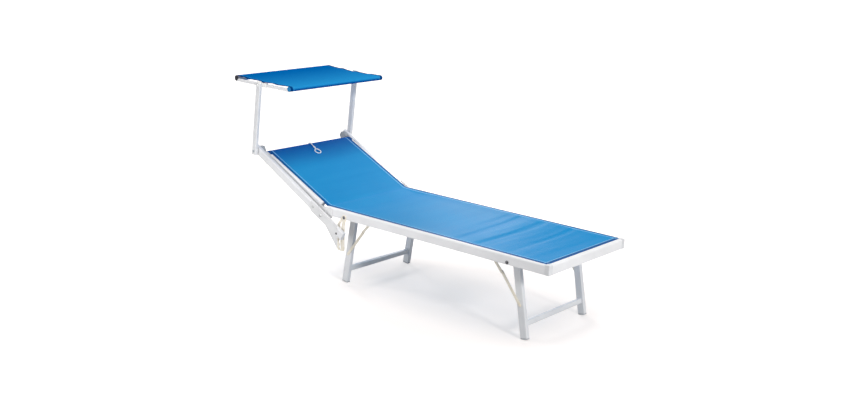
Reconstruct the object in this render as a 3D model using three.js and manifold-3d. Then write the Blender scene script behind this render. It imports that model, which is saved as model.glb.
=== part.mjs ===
// Sun lounger with a folding canopy, sizes in millimetres, height up Z, head end toward -X
import * as THREE from 'three';
import { mergeVertices } from 'three/addons/utils/BufferGeometryUtils.js';
import Module from 'manifold-3d';

const wasm = await Module();
wasm.setup();

const degree = Math.PI / 180;

// Fits
const gap = 0.3;
const screw_radius = 4;
const screw_head_radius = 8;
const screw_head = 3.6;
const collar_radius = 8;
const nut_radius = 7;
const nut_height = 5;

// Side rails of the seat, measured from the bend of the cloth
const seat_half_width = 300;
const seat_top = 390.5;
const seat_foot = 1340;
const seat_start = 5;

// Rail extrusion
const rail_width = 25;
const rail_height = 45;
const rail_wall = 2;
const rail_round = 7;
const rail_edge = 1.5;
const side_lip = 12.5;
const foot_lip = 19;
const lip_step = 2.5;
const channel_radius = 4.5;
const channel_mouth = 3;
const channel_drop = 6;
const channel_cheek = 3;
const rail_bottom = seat_top - rail_height;

// Corner pieces at the foot
const corner_round = 4;
const corner_edge = 1.5;
const corner_spigot = 18;

// Sling cloth
const cloth_thickness = 2;
const bead_radius = 3.6;
const seat_cloth_setback = 25;
const tongue_length = 33;
const tongue_play = 5;
const foot_overlap = 16;

// Legs
const leg_depth = 36;
const leg_width = 22;
const leg_inset = 62;
const leg_half_span = seat_half_width - leg_inset;
const leg_wall = 2;
const leg_round = 2.5;
const leg_top = 17;
const pivot_rise = 11.5;
const pivot_height = rail_bottom + pivot_rise;
const front_lean_angle = 10.53;
const rear_lean_angle = 9.14;
const front_setback = 173.4;
const front_corner = seat_foot - front_setback;
const rear_corner = 89.9;
const bar_height = 69;
const bar_depth = 25;
const bar_width = 20;
const bar_round = 4;
const foot_cap = 5;
const foot_plug = 22;
const foot_land = 2;

// Folding stays of the legs
const lower_link = 169.5;
const upper_link = 96;
const link_slack = 0.15;
const link_radius = 6.5;
const link_thickness = 3.2;
const link_pin_radius = 3;
const link_boss_radius = 6;
const link_dome_radius = 5.5;
const link_dome = 2;
const link_pin_depth = 9;

// Hinge of the backrest
const hinge_x = -8;
const hinge_rise = 1;
const hinge_z = rail_bottom + hinge_rise;
const hinge_plate_thickness = 4;
const hinge_plate_head = 40;
const hinge_plate_foot = 45;
const hinge_plate_below = 10.5;
const hinge_plate_round = 10;
const hinge_rivet_radius = 5;
const hinge_rivet_head = 1.6;
const hinge_rivet_low_x = 36;
const hinge_rivet_low_rise = 7.5;
const hinge_rivet_high_x = 17;
const hinge_rivet_high_rise = 25.5;

// Backrest
const back_angle = 25.1;
const back_start = 31;
const back_length = 492;
const block_length = 37;
const back_rail_end = back_length - block_length;
const head_bar_radius = 12.5;
const head_bar_bore = 9.5;
const head_bar_seat = 7;
const block_width = 10;
const block_flange = 4;
const block_round = 6;

// Arms along the backrest
const arm_angle = 28.15;
const arm_offset = 8;
const arm_inner = seat_half_width + arm_offset;
const arm_width = 20;
const arm_height = 40;
const arm_wall = 2;
const arm_round = 4;
const arm_drop = 1.9;
const arm_overhang = 66;
const arm_head = back_length + arm_overhang;
const arm_tail = 166;

// Lever plates at the tail of the arms
const lever_thickness = 3;
const lever_reach = 117;
const lever_drop = 143;
const lever_head_shares = [[-0.62, 0.084], [-0.598, 0.42], [-0.57, 0.435]];
const lever_corner_shares = [[0.955, -0.2], [0.983, -0.235]];
const lever_tip_shares = [[1, -0.975], [0.99, -1], [0.974, -0.965]];
const lever_inner_shares = [[0.761, -0.755], [0.573, -0.573], [0.393, -0.392], [0.274, -0.287]];
const tail_pin_inset = 6;
const tail_pin_below = 10.1;
const tail_pin_radius = 3.2;
const tail_pin_dome_radius = 6;
const tail_pin_dome = 2.4;
const tail_pin_out = lever_reach - tail_pin_inset;
const tail_pin_x = hinge_x + tail_pin_out;
const tail_pin_z = hinge_z - tail_pin_out * Math.tan(arm_angle * degree) - tail_pin_below;

// Rivets that hold rail, arm and lever plate together
const spacer_back = 52;
const spacer_rise = 35.5;
const spacer_x = hinge_x - spacer_back;
const spacer_z = hinge_z + spacer_rise;
const spacer_inside = 6;

// Notched straps that set the recline
const strap_thickness = 3.8;
const strap_head_edge = 8;
const strap_foot_edge = 14;
const strap_end_edge = 3;
const strap_eye_radius = 13;
const strap_corner = 9;
const strap_play = 0.8;
const strap_ratio = 0.7;
const notch_depth = 4.5;
const notch_count = 5;
const recline_down_angle = 25.1;
const recline_up_angle = 40;

// Posts of the canopy
const post_width = 18;
const post_depth = 30;
const post_gap = 6;
const post_inner = arm_inner + arm_width + post_gap;
const post_wall = 1.6;
const post_round = 4;
const post_lean_angle = 5.97;
const post_setback = 22.77;
const post_drop = 2.28;
const post_pivot = armSpot(arm_head - post_setback, -post_drop);
const post_below = 19;
const post_length = 354;
const post_cap = 9;
const post_cap_plug = 16;
const canopy_pivot_down = 8.1;
const canopy_pivot_up = post_length - canopy_pivot_down;
const canopy_pivot = turnedSpot(
  post_pivot.x, post_pivot.y + canopy_pivot_up, post_pivot.x, post_pivot.y, post_lean_angle);

// Knobs that clamp the posts
const knob_radius = 22.5;
const knob_waist = 19.5;
const knob_thickness = 20;
const knob_lobes = 6;
const knob_edge = 1.5;

// Canopy
const canopy_play = 6;
const canopy_half_width = post_inner - canopy_play;
const rear_reach = 191;
const rear_rise = 11;
const rear_tube_x = canopy_pivot.x - rear_reach;
const rear_tube_z = canopy_pivot.y + rear_rise;
const rear_tube_radius = 12.5;
const rear_cloth_radius = 15;
const front_reach = 206;
const front_rise = 1.5;
const front_tube_x = canopy_pivot.x + front_reach;
const front_tube_z = canopy_pivot.y + front_rise;
const front_tube_radius = 10.5;
const front_cloth_radius = 13;
const canopy_tube_wall = 1.5;
const canopy_sag = 5;
const side_tube_width = 12;
const side_tube_height = 15;
const side_tube_inset = 9;
const side_tube_inner = canopy_half_width - side_tube_inset;
const side_tube_wall = 1.5;
const side_tube_round = 3;
const side_tube_rear_drop = 8.2;
const side_tube_front_drop = 6;
const side_tube_rear_z = rear_tube_z - side_tube_rear_drop;
const side_tube_front_z = front_tube_z - side_tube_front_drop;
const sleeve_notch = 1.2;
const clamp_head = 22;
const clamp_foot = 38;
const clamp_height = 21;
const clamp_width = 17;
const clamp_round = 3;
const clamp_pin_radius = 4;

// Pull cord with its ring
const cord_radius = 2.5;
const cord_length = 92;
const cord_shares = [
  [-0.038, 0.0543, -0.3109],
  [0.0261, 0.0543, -0.2174],
  [0.0337, 0.0543, -0.125],
  [0.0043, 0.0543, -0.0413],
  [-0.0685, 0.0522, 0.0239],
  [-0.163, 0.0424, 0.0391],
  [-0.2609, 0.0207, 0.0424],
  [-0.3533, -0.0076, 0.0478],
  [-0.4348, -0.0304, 0.0543],
  [-0.5, -0.0413, 0.0571],
  [-0.5598, -0.0435, 0.0576],
];
const cord_sides = 8;
const cord_steps = 36;
const crimp_radius = 5.1;
const crimp_setback = 46;
const crimp_length = 13;
const crimp_head = back_length - crimp_setback;
const neck_grip = 6;
const neck_radius = 2.5;
const ring_radius = 16.3;
const ring_thick = 3;
const ring_setback = 22;
const ring_centre = crimp_head - crimp_length - ring_setback;
const ring_side = -4;
const ring_rise = 5.3;
const ring_tilt_angle = 3.5;

const group = new THREE.Group();
const circle_steps = 16;
const round_steps = 4;

// Finishes, each piece gets its own copy
const finishes = {
  rail: [0xdfe3e6, 0.32, 0.55],
  frame: [0xc9cdd1, 0.38, 0.5],
  bolt: [0x8d9093, 0.4, 0.8],
  plate: [0x8c9196, 0.45, 0.6],
  nylon: [0xefe3cc, 0.5, 0],
  grey_plastic: [0xb9bdc0, 0.5, 0],
  dark_plastic: [0x26282b, 0.55, 0],
  white_plastic: [0xf2f2f0, 0.4, 0],
  cloth: [0x2f86c8, 0.85, 0],
  canopy: [0x0b63ae, 0.85, 0],
  cord: [0xdcdcd8, 0.8, 0],
};

// Turns the triangles so that they face out
function outward(geometry) {
  const bare = geometry.index ? geometry.toNonIndexed() : geometry.clone();
  for (const name of Object.keys(bare.attributes)) {
    if (name !== 'position') bare.deleteAttribute(name);
  }
  const spots = bare.attributes.position.array;
  let volume = 0;
  for (let i = 0; i < spots.length; i += 9) {
    const [ax, ay, az, bx, by, bz, cx, cy, cz] = spots.slice(i, i + 9);
    volume += ax * (by * cz - bz * cy) + ay * (bz * cx - bx * cz) + az * (bx * cy - by * cx);
  }
  return volume < 0 ? flipped(bare) : bare;
}

// Reverses every triangle of a bare geometry
function flipped(geometry) {
  const spots = geometry.attributes.position.array;
  for (let i = 0; i < spots.length; i += 9) {
    for (let k = 0; k < 3; k += 1) {
      const kept = spots[i + 3 + k];
      spots[i + 3 + k] = spots[i + 6 + k];
      spots[i + 6 + k] = kept;
    }
  }
  return geometry;
}

// Copy on the other side of the lounger
function mirrored(geometry) {
  const bare = outward(geometry);
  bare.applyMatrix4(new THREE.Matrix4().makeScale(1, -1, 1));
  return flipped(bare);
}

// Solid for cutting and joining
function solid(geometry) {
  const welded = mergeVertices(outward(geometry));
  return new wasm.Manifold(new wasm.Mesh({
    numProp: 3,
    vertProperties: new Float32Array(welded.attributes.position.array),
    triVerts: new Uint32Array(welded.index.array),
  }));
}

function fromSolid(body) {
  const mesh = body.getMesh();
  const geometry = new THREE.BufferGeometry();
  geometry.setAttribute('position', new THREE.BufferAttribute(new Float32Array(mesh.vertProperties), 3));
  geometry.setIndex(new THREE.BufferAttribute(new Uint32Array(mesh.triVerts), 1));
  return geometry;
}

function cut(geometry, tools) {
  let body = solid(geometry);
  for (const tool of tools) body = body.subtract(solid(tool));
  return fromSolid(body);
}

function join(pieces) {
  let body = solid(pieces[0]);
  for (const piece of pieces.slice(1)) body = body.add(solid(piece));
  return fromSolid(body);
}

// Adds one named piece
function add(name, geometry, finish) {
  const bare = outward(geometry);
  bare.computeVertexNormals();
  const [color, roughness, metalness] = finishes[finish];
  const mesh = new THREE.Mesh(bare, new THREE.MeshStandardMaterial({ color, roughness, metalness }));
  mesh.name = name;
  group.add(mesh);
}

// Adds a piece on the left and its mirror image on the right
function addPair(name, geometry, finish) {
  add(`${name}_left`, geometry, finish);
  add(`${name}_right`, mirrored(geometry), finish);
}

// Points of an arc, angles in degrees
function arc(x, y, radius, from, to, steps) {
  const points = [];
  for (let i = 0; i <= steps; i += 1) {
    const turn = (from + (to - from) * i / steps) * degree;
    points.push(new THREE.Vector2(x + radius * Math.cos(turn), y + radius * Math.sin(turn)));
  }
  return points;
}

// Outline with a rounded rectangle, optionally hollow
function tubeOutline(x, y, width, height, round, wall) {
  const shape = new THREE.Shape(roundedPoints(x, y, width, height, round));
  if (wall > 0) {
    const inner_round = Math.max(round - wall, round / 4);
    shape.holes.push(new THREE.Path(
      roundedPoints(x, y, width - 2 * wall, height - 2 * wall, inner_round).reverse()));
  }
  return shape;
}

function roundedPoints(x, y, width, height, round) {
  const right = x + width / 2 - round;
  const left = x - width / 2 + round;
  const high = y + height / 2 - round;
  const low = y - height / 2 + round;
  return [
    ...arc(right, low, round, -90, 0, round_steps),
    ...arc(right, high, round, 0, 90, round_steps),
    ...arc(left, high, round, 90, 180, round_steps),
    ...arc(left, low, round, 180, 270, round_steps),
  ];
}

// Outline in y and z drawn out along x
function alongX(shape, low, high) {
  const geometry = new THREE.ExtrudeGeometry(shape, { depth: high - low, bevelEnabled: false });
  const x = new THREE.Vector3(0, 1, 0);
  const y = new THREE.Vector3(0, 0, 1);
  const z = new THREE.Vector3(1, 0, 0);
  geometry.applyMatrix4(new THREE.Matrix4().makeBasis(x, y, z));
  geometry.translate(low, 0, 0);
  return geometry;
}

// Outline in x and z drawn out along y
function alongY(shape, low, high) {
  const geometry = new THREE.ExtrudeGeometry(shape, { depth: high - low, bevelEnabled: false });
  const x = new THREE.Vector3(1, 0, 0);
  const y = new THREE.Vector3(0, 0, 1);
  const z = new THREE.Vector3(0, -1, 0);
  geometry.applyMatrix4(new THREE.Matrix4().makeBasis(x, y, z));
  geometry.translate(0, high, 0);
  return geometry;
}

// Outline in x and y drawn out along z
function alongZ(shape, low, high) {
  const geometry = new THREE.ExtrudeGeometry(shape, { depth: high - low, bevelEnabled: false });
  geometry.translate(0, 0, low);
  return geometry;
}

function box(x0, x1, y0, y1, z0, z1) {
  const geometry = new THREE.BoxGeometry(x1 - x0, y1 - y0, z1 - z0);
  geometry.translate((x0 + x1) / 2, (y0 + y1) / 2, (z0 + z1) / 2);
  return geometry;
}

// Round bar across the lounger
function pin(x, z, radius, low, high) {
  const geometry = new THREE.CylinderGeometry(radius, radius, high - low, circle_steps);
  geometry.translate(x, (low + high) / 2, z);
  return geometry;
}

// Turned piece across the lounger, from [radius, y] pairs
function turned(x, z, profile) {
  const points = [new THREE.Vector2(0, profile[0][1])];
  for (const [radius, y] of profile) points.push(new THREE.Vector2(radius, y));
  points.push(new THREE.Vector2(0, profile[profile.length - 1][1]));
  const geometry = new THREE.LatheGeometry(points, circle_steps);
  geometry.translate(x, 0, z);
  return geometry;
}

// Turns a piece about a cross axis, positive raises the head end
function swung(geometry, angle, x, z) {
  geometry.translate(-x, 0, -z);
  geometry.rotateY(angle * degree);
  geometry.translate(x, 0, z);
  return geometry;
}

// Lays a piece drawn flat at seat height up to the slope of the backrest
function raised(geometry) {
  return swung(geometry, back_angle, 0, seat_top);
}

// Cross section of the rail: inner face at 0, bottom at 0
function railPoints(lip) {
  const mouth_out = rail_width - lip;
  const mouth_in = mouth_out - channel_mouth;
  const step_top = rail_height - lip_step;
  const centre = channelCentre(lip);
  const height = step_top - channel_drop;
  const from = Math.acos((mouth_out - centre) / channel_radius) / degree;
  const to = Math.acos((mouth_in - centre) / channel_radius) / degree - 360;
  return [
    new THREE.Vector2(rail_edge, 0),
    new THREE.Vector2(rail_width - rail_edge, 0),
    new THREE.Vector2(rail_width, rail_edge),
    ...arc(rail_width - rail_round, rail_height - rail_round, rail_round, 0, 90, round_steps),
    new THREE.Vector2(mouth_out, rail_height),
    ...arc(centre, height, channel_radius, from, to, circle_steps),
    new THREE.Vector2(mouth_in, step_top),
    new THREE.Vector2(rail_edge, step_top),
    new THREE.Vector2(0, step_top - rail_edge),
    new THREE.Vector2(0, rail_edge),
  ];
}

function channelCentre(lip) {
  const middle = rail_width - lip - channel_mouth / 2;
  return Math.max(middle, channel_radius + channel_cheek);
}

function chamberTop() {
  return rail_height - lip_step - channel_drop - channel_radius - rail_wall;
}

// Rail outline placed with its inner face at a given distance
function railOutline(lip, inner) {
  const move = (point) => new THREE.Vector2(inner + point.x, rail_bottom + point.y);
  const shape = new THREE.Shape(railPoints(lip).map(move));
  const chamber = [
    new THREE.Vector2(rail_wall, rail_wall),
    new THREE.Vector2(rail_wall, chamberTop()),
    new THREE.Vector2(rail_width - rail_wall, chamberTop()),
    new THREE.Vector2(rail_width - rail_wall, rail_wall),
  ];
  shape.holes.push(new THREE.Path(chamber.map(move)));
  return shape;
}

// Box that fills the chamber of a rail, for plugs
function chamberRange() {
  const bottom = rail_bottom + rail_wall + gap;
  const top = rail_bottom + chamberTop() - gap;
  const inner = seat_half_width - rail_width + rail_wall + gap;
  const outer = seat_half_width - rail_wall - gap;
  return { bottom, top, inner, outer };
}

const rail_inner = seat_half_width - rail_width;
const cross_reach = 2 * seat_half_width;
const foot_inner = seat_foot - rail_width;
const stays = {
  front: legPlan(-1, front_lean_angle, front_corner),
  rear: legPlan(1, rear_lean_angle, rear_corner),
};

// Pivots of one leg frame and of its stays; way is +1 when the leg folds toward the foot
function legPlan(way, lean, corner) {
  const slope = lean * degree;
  const end_x = corner - way * leg_depth / 2 * Math.cos(slope);
  const end_z = leg_depth / 2 * Math.sin(slope);
  const length = (pivot_height - end_z) / Math.cos(slope);
  const pivot = new THREE.Vector2(end_x + way * length * Math.sin(slope), pivot_height);
  const reach = lower_link + upper_link - link_slack;
  const folded = lower_link - upper_link + link_slack;
  const spread = (reach * reach - folded * folded) / (2 * (1 + Math.sin(slope)));
  const down = folded / 2 + Math.sqrt(folded * folded / 4 + spread);
  const low = new THREE.Vector2(
    pivot.x - way * down * Math.sin(slope), pivot_height - down * Math.cos(slope));
  const high = new THREE.Vector2(pivot.x + way * (down - folded), pivot_height);
  return { way, lean, length, pivot, down, low, high, knee: kneeOf(low, high, way) };
}

// Knee of a nearly straight pair of links, on the side of the leg
function kneeOf(low, high, way) {
  const reach = low.distanceTo(high);
  const along = (lower_link ** 2 - upper_link ** 2 + reach ** 2) / (2 * reach);
  const aside = Math.sqrt(Math.max(lower_link ** 2 - along ** 2, 0));
  const x = (high.x - low.x) / reach;
  const z = (high.y - low.y) / reach;
  return new THREE.Vector2(low.x + x * along - way * z * aside, low.y + z * along + way * x * aside);
}

function seatRail() {
  const rail = alongX(railOutline(side_lip, rail_inner), seat_start, foot_inner - gap);
  const holes = [];
  for (const plan of Object.values(stays)) {
    holes.push(pin(plan.pivot.x, plan.pivot.y, screw_radius + gap, 0, cross_reach));
    const wall = rail_inner + rail_width / 2;
    holes.push(pin(plan.high.x, plan.high.y, link_pin_radius + gap, 0, wall));
  }
  for (const [x, z] of hingeRivets()) {
    holes.push(pin(x, z, hinge_rivet_radius / 2 + gap, rail_inner + rail_width / 2, cross_reach));
  }
  return cut(rail, holes);
}

function hingeRivets() {
  return [
    [hinge_rivet_low_x, rail_bottom + hinge_rivet_low_rise],
    [hinge_rivet_high_x, rail_bottom + hinge_rivet_high_rise],
  ];
}

function footRail() {
  const end = rail_inner - gap;
  return alongY(railOutline(foot_lip, foot_inner), -end, end);
}

// Corner with plugs that sit in the side rail and in the foot rail
function cornerPiece() {
  const from = rail_inner;
  const points = [
    new THREE.Vector2(foot_inner, from),
    new THREE.Vector2(seat_foot, from),
    ...arc(seat_foot - corner_round, seat_half_width - corner_round, corner_round, 0, 90, round_steps),
    new THREE.Vector2(foot_inner, seat_half_width),
  ];
  const inset = rail_height - corner_edge;
  const block = alongZ(new THREE.Shape(points), rail_bottom, rail_bottom + inset);
  const lid_points = points.map((point) => new THREE.Vector2(
    point.x - (point.x > foot_inner ? corner_edge : 0),
    point.y - (point.y > from ? corner_edge : 0)));
  const lid = alongZ(new THREE.Shape(lid_points), rail_bottom, seat_top);
  const room = chamberRange();
  const side_plug = box(
    foot_inner - corner_spigot, foot_inner + gap, room.inner, room.outer, room.bottom, room.top);
  const foot_plug_box = box(
    foot_inner + rail_wall + gap, seat_foot - rail_wall - gap,
    from - corner_spigot, from + gap, room.bottom, room.top);
  return join([block, lid, side_plug, foot_plug_box]);
}

// Cross section of the cloth with a bead in the channel of each side rail
function clothOutline() {
  const middle = rail_inner + channelCentre(side_lip);
  const top = seat_top - lip_step + gap + cloth_thickness;
  const bottom = top - cloth_thickness;
  const bead_z = seat_top - lip_step - channel_drop;
  const neck = cloth_thickness / 2;
  const open = Math.acos(neck / bead_radius) / degree;
  const right = [
    new THREE.Vector2(middle + neck, top),
    ...arc(middle, bead_z, bead_radius, open, -180 - open, circle_steps),
    new THREE.Vector2(middle - neck, bottom),
  ];
  const left = right.map((point) => new THREE.Vector2(-point.x, point.y)).reverse();
  return new THREE.Shape([...right, ...left]);
}

// Front edge of the seat cloth with its bead in the channel of the foot rail
function footHem() {
  const centre = foot_inner + channelCentre(foot_lip);
  const neck_out = foot_inner + rail_width - foot_lip - (channel_mouth - cloth_thickness) / 2;
  const neck_in = neck_out - cloth_thickness;
  const top = seat_top - lip_step + gap + cloth_thickness;
  const bead_z = seat_top - lip_step - channel_drop;
  const from = Math.acos((neck_out - centre) / bead_radius) / degree;
  const points = [
    new THREE.Vector2(foot_inner - foot_overlap, top - cloth_thickness),
    new THREE.Vector2(neck_in, top - cloth_thickness),
    ...arc(centre, bead_z, bead_radius, 180, 360 + from, circle_steps),
    new THREE.Vector2(neck_out, top),
    new THREE.Vector2(foot_inner - foot_overlap, top),
  ];
  const end = rail_inner - 2 * gap;
  return alongY(new THREE.Shape(points), -end, end);
}

function seatCloth() {
  return join([alongX(clothOutline(), seat_start + seat_cloth_setback, foot_inner - 2 * gap), footHem()]);
}

// Bolt through rail and leg; head starts at the given distance from the middle
function legBolt(plan, head_from, head_height) {
  const inside = leg_half_span - leg_width;
  return turned(plan.pivot.x, plan.pivot.y, [
    [nut_radius, inside - gap - nut_height],
    [nut_radius, inside - gap],
    [screw_radius, inside - gap],
    [screw_radius, leg_half_span + gap],
    [collar_radius, leg_half_span + gap],
    [collar_radius, rail_inner - gap],
    [screw_radius, rail_inner - gap],
    [screw_radius, head_from],
    [screw_head_radius, head_from],
    [screw_head_radius, head_from + head_height / 2],
    [screw_head_radius / 2, head_from + head_height],
  ]);
}

// Two legs and their crossbar welded together, drawn hanging and then leaned
function legFrame(plan) {
  const pieces = [];
  const end = plan.length - foot_cap;
  const middle = leg_half_span - leg_width / 2;
  for (const side of [1, -1]) {
    const outline = tubeOutline(0, side * middle, leg_depth, leg_width, leg_round, leg_wall);
    const pin_from = Math.min(side * middle, side * cross_reach);
    const pin_to = Math.max(side * middle, side * cross_reach);
    pieces.push(cut(alongZ(outline, -end, leg_top), [
      pin(0, 0, screw_radius + gap, -cross_reach, cross_reach),
      pin(0, -plan.down, link_pin_radius + gap, pin_from, pin_to),
    ]));
  }
  const bar_down = (pivot_height - bar_height) / Math.cos(plan.lean * degree);
  const bar_end = leg_half_span - leg_width + leg_wall / 2;
  const bar = new THREE.Shape(roundedPoints(0, -bar_down, bar_width, bar_depth, bar_round));
  pieces.push(alongY(bar, -bar_end, bar_end));
  const frame = join(pieces);
  return hung(frame, plan);
}

function hung(geometry, plan) {
  geometry.rotateY(plan.way * plan.lean * degree);
  geometry.translate(plan.pivot.x, 0, plan.pivot.y);
  return geometry;
}

// Plastic foot pressed into the leg, with a level patch on the floor
function footPlug(plan) {
  const middle = leg_half_span - leg_width / 2;
  const fit = leg_wall + gap;
  const end = plan.length - foot_cap;
  const cap = alongZ(tubeOutline(0, middle, leg_depth, leg_width, leg_round, 0),
    -plan.length - foot_land, -end - gap);
  const plug = alongZ(
    tubeOutline(0, middle, leg_depth - 2 * fit, leg_width - 2 * fit, leg_round / 2, 0),
    -end - 2 * gap, -end + foot_plug);
  const foot = hung(join([cap, plug]), plan);
  const floor = box(
    plan.low.x - cross_reach, plan.low.x + cross_reach, 0, cross_reach, -cross_reach, 0);
  return cut(foot, [floor]);
}

// Flat link with round ends
function linkOutline(from, to, radius) {
  const turn = Math.atan2(to.y - from.y, to.x - from.x) / degree;
  return new THREE.Shape([
    ...arc(to.x, to.y, radius, turn - 90, turn + 90, circle_steps / 2),
    ...arc(from.x, from.y, radius, turn + 90, turn + 270, circle_steps / 2),
  ]);
}

// Lower link lies against the leg with its pin in the leg
function lowerLink(plan) {
  const inner = leg_half_span + 2 * gap;
  const outer = inner + link_thickness;
  return join([
    alongY(linkOutline(plan.low, plan.knee, link_radius), inner, outer),
    turned(plan.low.x, plan.low.y, [
      [link_pin_radius, inner - link_pin_depth],
      [link_pin_radius, outer - gap],
      [link_dome_radius, outer - gap],
      [link_dome_radius / 2, outer + link_dome],
    ]),
  ]);
}

// Upper link lies outside the lower one, with its stud reaching into the rail
function upperLink(plan) {
  const inner = leg_half_span + 4 * gap + link_thickness;
  const outer = inner + link_thickness;
  return join([
    alongY(linkOutline(plan.high, plan.knee, link_radius), inner, outer),
    turned(plan.knee.x, plan.knee.y, [
      [link_dome_radius, outer - gap],
      [link_dome_radius / 2, outer + link_dome],
    ]),
    turned(plan.high.x, plan.high.y, [
      [link_boss_radius, outer - gap],
      [link_boss_radius, rail_inner - gap],
      [link_pin_radius, rail_inner - gap],
      [link_pin_radius, rail_inner + rail_wall + gap],
    ]),
  ]);
}

// Plate riveted to the rail, rivets drawn with it
function hingePlate() {
  const low = rail_bottom - hinge_plate_below + hinge_plate_round;
  const high = seat_top - lip_step - hinge_plate_round;
  const head = -hinge_plate_head + hinge_plate_round;
  const foot = hinge_plate_foot - hinge_plate_round;
  const shape = new THREE.Shape([
    ...arc(foot, low, hinge_plate_round, -90, 0, round_steps),
    ...arc(foot, high, hinge_plate_round, 0, 90, round_steps),
    ...arc(head, high, hinge_plate_round, 90, 180, round_steps),
    ...arc(head, low, hinge_plate_round, 180, 270, round_steps),
  ]);
  const inner = seat_half_width + gap;
  const outer = inner + hinge_plate_thickness;
  const pieces = [alongY(shape, inner, outer)];
  for (const [x, z] of hingeRivets()) {
    pieces.push(turned(x, z, [
      [hinge_rivet_radius / 2, seat_half_width - rail_wall - gap],
      [hinge_rivet_radius / 2, outer - gap],
      [hinge_rivet_radius, outer - gap],
      [hinge_rivet_radius / 2, outer + hinge_rivet_head],
    ]));
  }
  return cut(join(pieces), [pin(hinge_x, hinge_z, screw_radius + gap, 0, cross_reach)]);
}

const plate_outer = seat_half_width + gap + hinge_plate_thickness;
const arm_outer = arm_inner + arm_width;
const lever_inner = arm_outer + gap;
const lever_outer = lever_inner + lever_thickness;

// Shoulder bolt from the hinge plate through arm and lever plate
function hingeBolt() {
  return turned(hinge_x, hinge_z, [
    [nut_radius, seat_half_width - nut_height],
    [nut_radius, seat_half_width],
    [screw_radius, seat_half_width],
    [screw_radius, plate_outer + gap],
    [collar_radius, plate_outer + gap],
    [collar_radius, arm_inner - gap],
    [screw_radius, arm_inner - gap],
    [screw_radius, lever_outer + gap],
    [screw_head_radius, lever_outer + gap],
    [screw_head_radius, lever_outer + gap + screw_head / 2],
    [screw_head_radius / 2, lever_outer + gap + screw_head],
  ]);
}

function backRail() {
  const rail = raised(alongX(railOutline(side_lip, rail_inner), -back_rail_end, -back_start));
  const from = rail_inner + rail_width / 2;
  return cut(rail, [pin(spacer_x, spacer_z, screw_radius + gap, from, cross_reach)]);
}

// Block that joins rail, arm and head bar
function endBlock() {
  const bottom = rail_bottom;
  const outline = new THREE.Shape([
    ...arc(-back_length + block_round, bottom + block_round, block_round, 180, 270, round_steps),
    new THREE.Vector2(-back_rail_end - gap, bottom),
    new THREE.Vector2(-back_rail_end - gap, seat_top),
    ...arc(-back_length + block_round, seat_top - block_round, block_round, 90, 180, round_steps),
  ]);
  const room = chamberRange();
  const inner = arm_inner - gap - block_width;
  const block = join([
    alongY(outline, inner, arm_inner - gap),
    box(-back_rail_end - block_flange, -back_rail_end - gap,
      room.inner, inner + gap, bottom, seat_top - lip_step),
    box(-back_rail_end - 2 * gap, -back_rail_end + corner_spigot,
      room.inner, room.outer, room.bottom, room.top),
  ]);
  const [x, z] = headBarSpot();
  const bore = pin(x, z, head_bar_radius + gap, inner - head_bar_seat, inner + head_bar_seat);
  return raised(cut(block, [bore]));
}

function headBarSpot() {
  const wrap = head_bar_radius + gap + cloth_thickness;
  return [-back_length + wrap, seat_top - lip_step + gap + cloth_thickness - wrap];
}

// Open tube across the head end
function headBar() {
  const [x, z] = headBarSpot();
  const end = arm_inner - gap - block_width + head_bar_seat - gap;
  return raised(roundTube(x, z, head_bar_radius, head_bar_bore, -end, end));
}

function roundTube(x, z, radius, bore, low, high) {
  const shape = new THREE.Shape(arc(x, z, radius, 0, 360, circle_steps).slice(1));
  shape.holes.push(new THREE.Path(arc(x, z, bore, 360, 0, circle_steps).slice(1)));
  return alongY(shape, low, high);
}

// Backrest cloth: beaded part between the rails, tongue at the bend, wrap over the head bar
function backCloth() {
  const top = seat_top - lip_step + gap + cloth_thickness;
  const [x, z] = headBarSpot();
  const inner = head_bar_radius + gap;
  const wrap = new THREE.Shape([
    new THREE.Vector2(-back_rail_end - 2 * gap, top),
    ...arc(x, z, inner + cloth_thickness, 90, 290, circle_steps),
    ...arc(x, z, inner, 290, 90, circle_steps),
    new THREE.Vector2(-back_rail_end - 2 * gap, top - cloth_thickness),
  ]);
  const end = arm_inner - 2 * gap - block_width;
  const narrow = rail_inner - 2 * gap;
  const tongue_half = rail_inner - tongue_play;
  return raised(join([
    alongX(clothOutline(), -back_rail_end + 2 * gap, -tongue_length),
    box(-tongue_length - foot_overlap, 0, -tongue_half, tongue_half, top - cloth_thickness, top),
    box(-back_rail_end - block_flange, -back_rail_end + foot_overlap,
      -narrow, narrow, top - cloth_thickness, top),
    alongY(wrap, -end, end),
  ]));
}

// Spot on the arms: toward the head from the hinge, above its line
function armSpot(toward_head, above) {
  return turnedSpot(hinge_x - toward_head, hinge_z + above, hinge_x, hinge_z, arm_angle);
}

function arm() {
  const middle = arm_inner + arm_width / 2;
  const outline = tubeOutline(middle, hinge_z - arm_drop, arm_width, arm_height, arm_round, arm_wall);
  const tube = swung(alongX(outline, hinge_x - arm_head, hinge_x + arm_tail), arm_angle, hinge_x, hinge_z);
  return cut(tube, [
    pin(hinge_x, hinge_z, screw_radius + gap, 0, cross_reach),
    pin(tail_pin_x, tail_pin_z, tail_pin_radius + gap, 0, cross_reach),
    pin(spacer_x, spacer_z, screw_radius + gap, 0, cross_reach),
    pin(post_pivot.x, post_pivot.y, screw_radius + gap, 0, cross_reach),
  ]);
}

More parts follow.
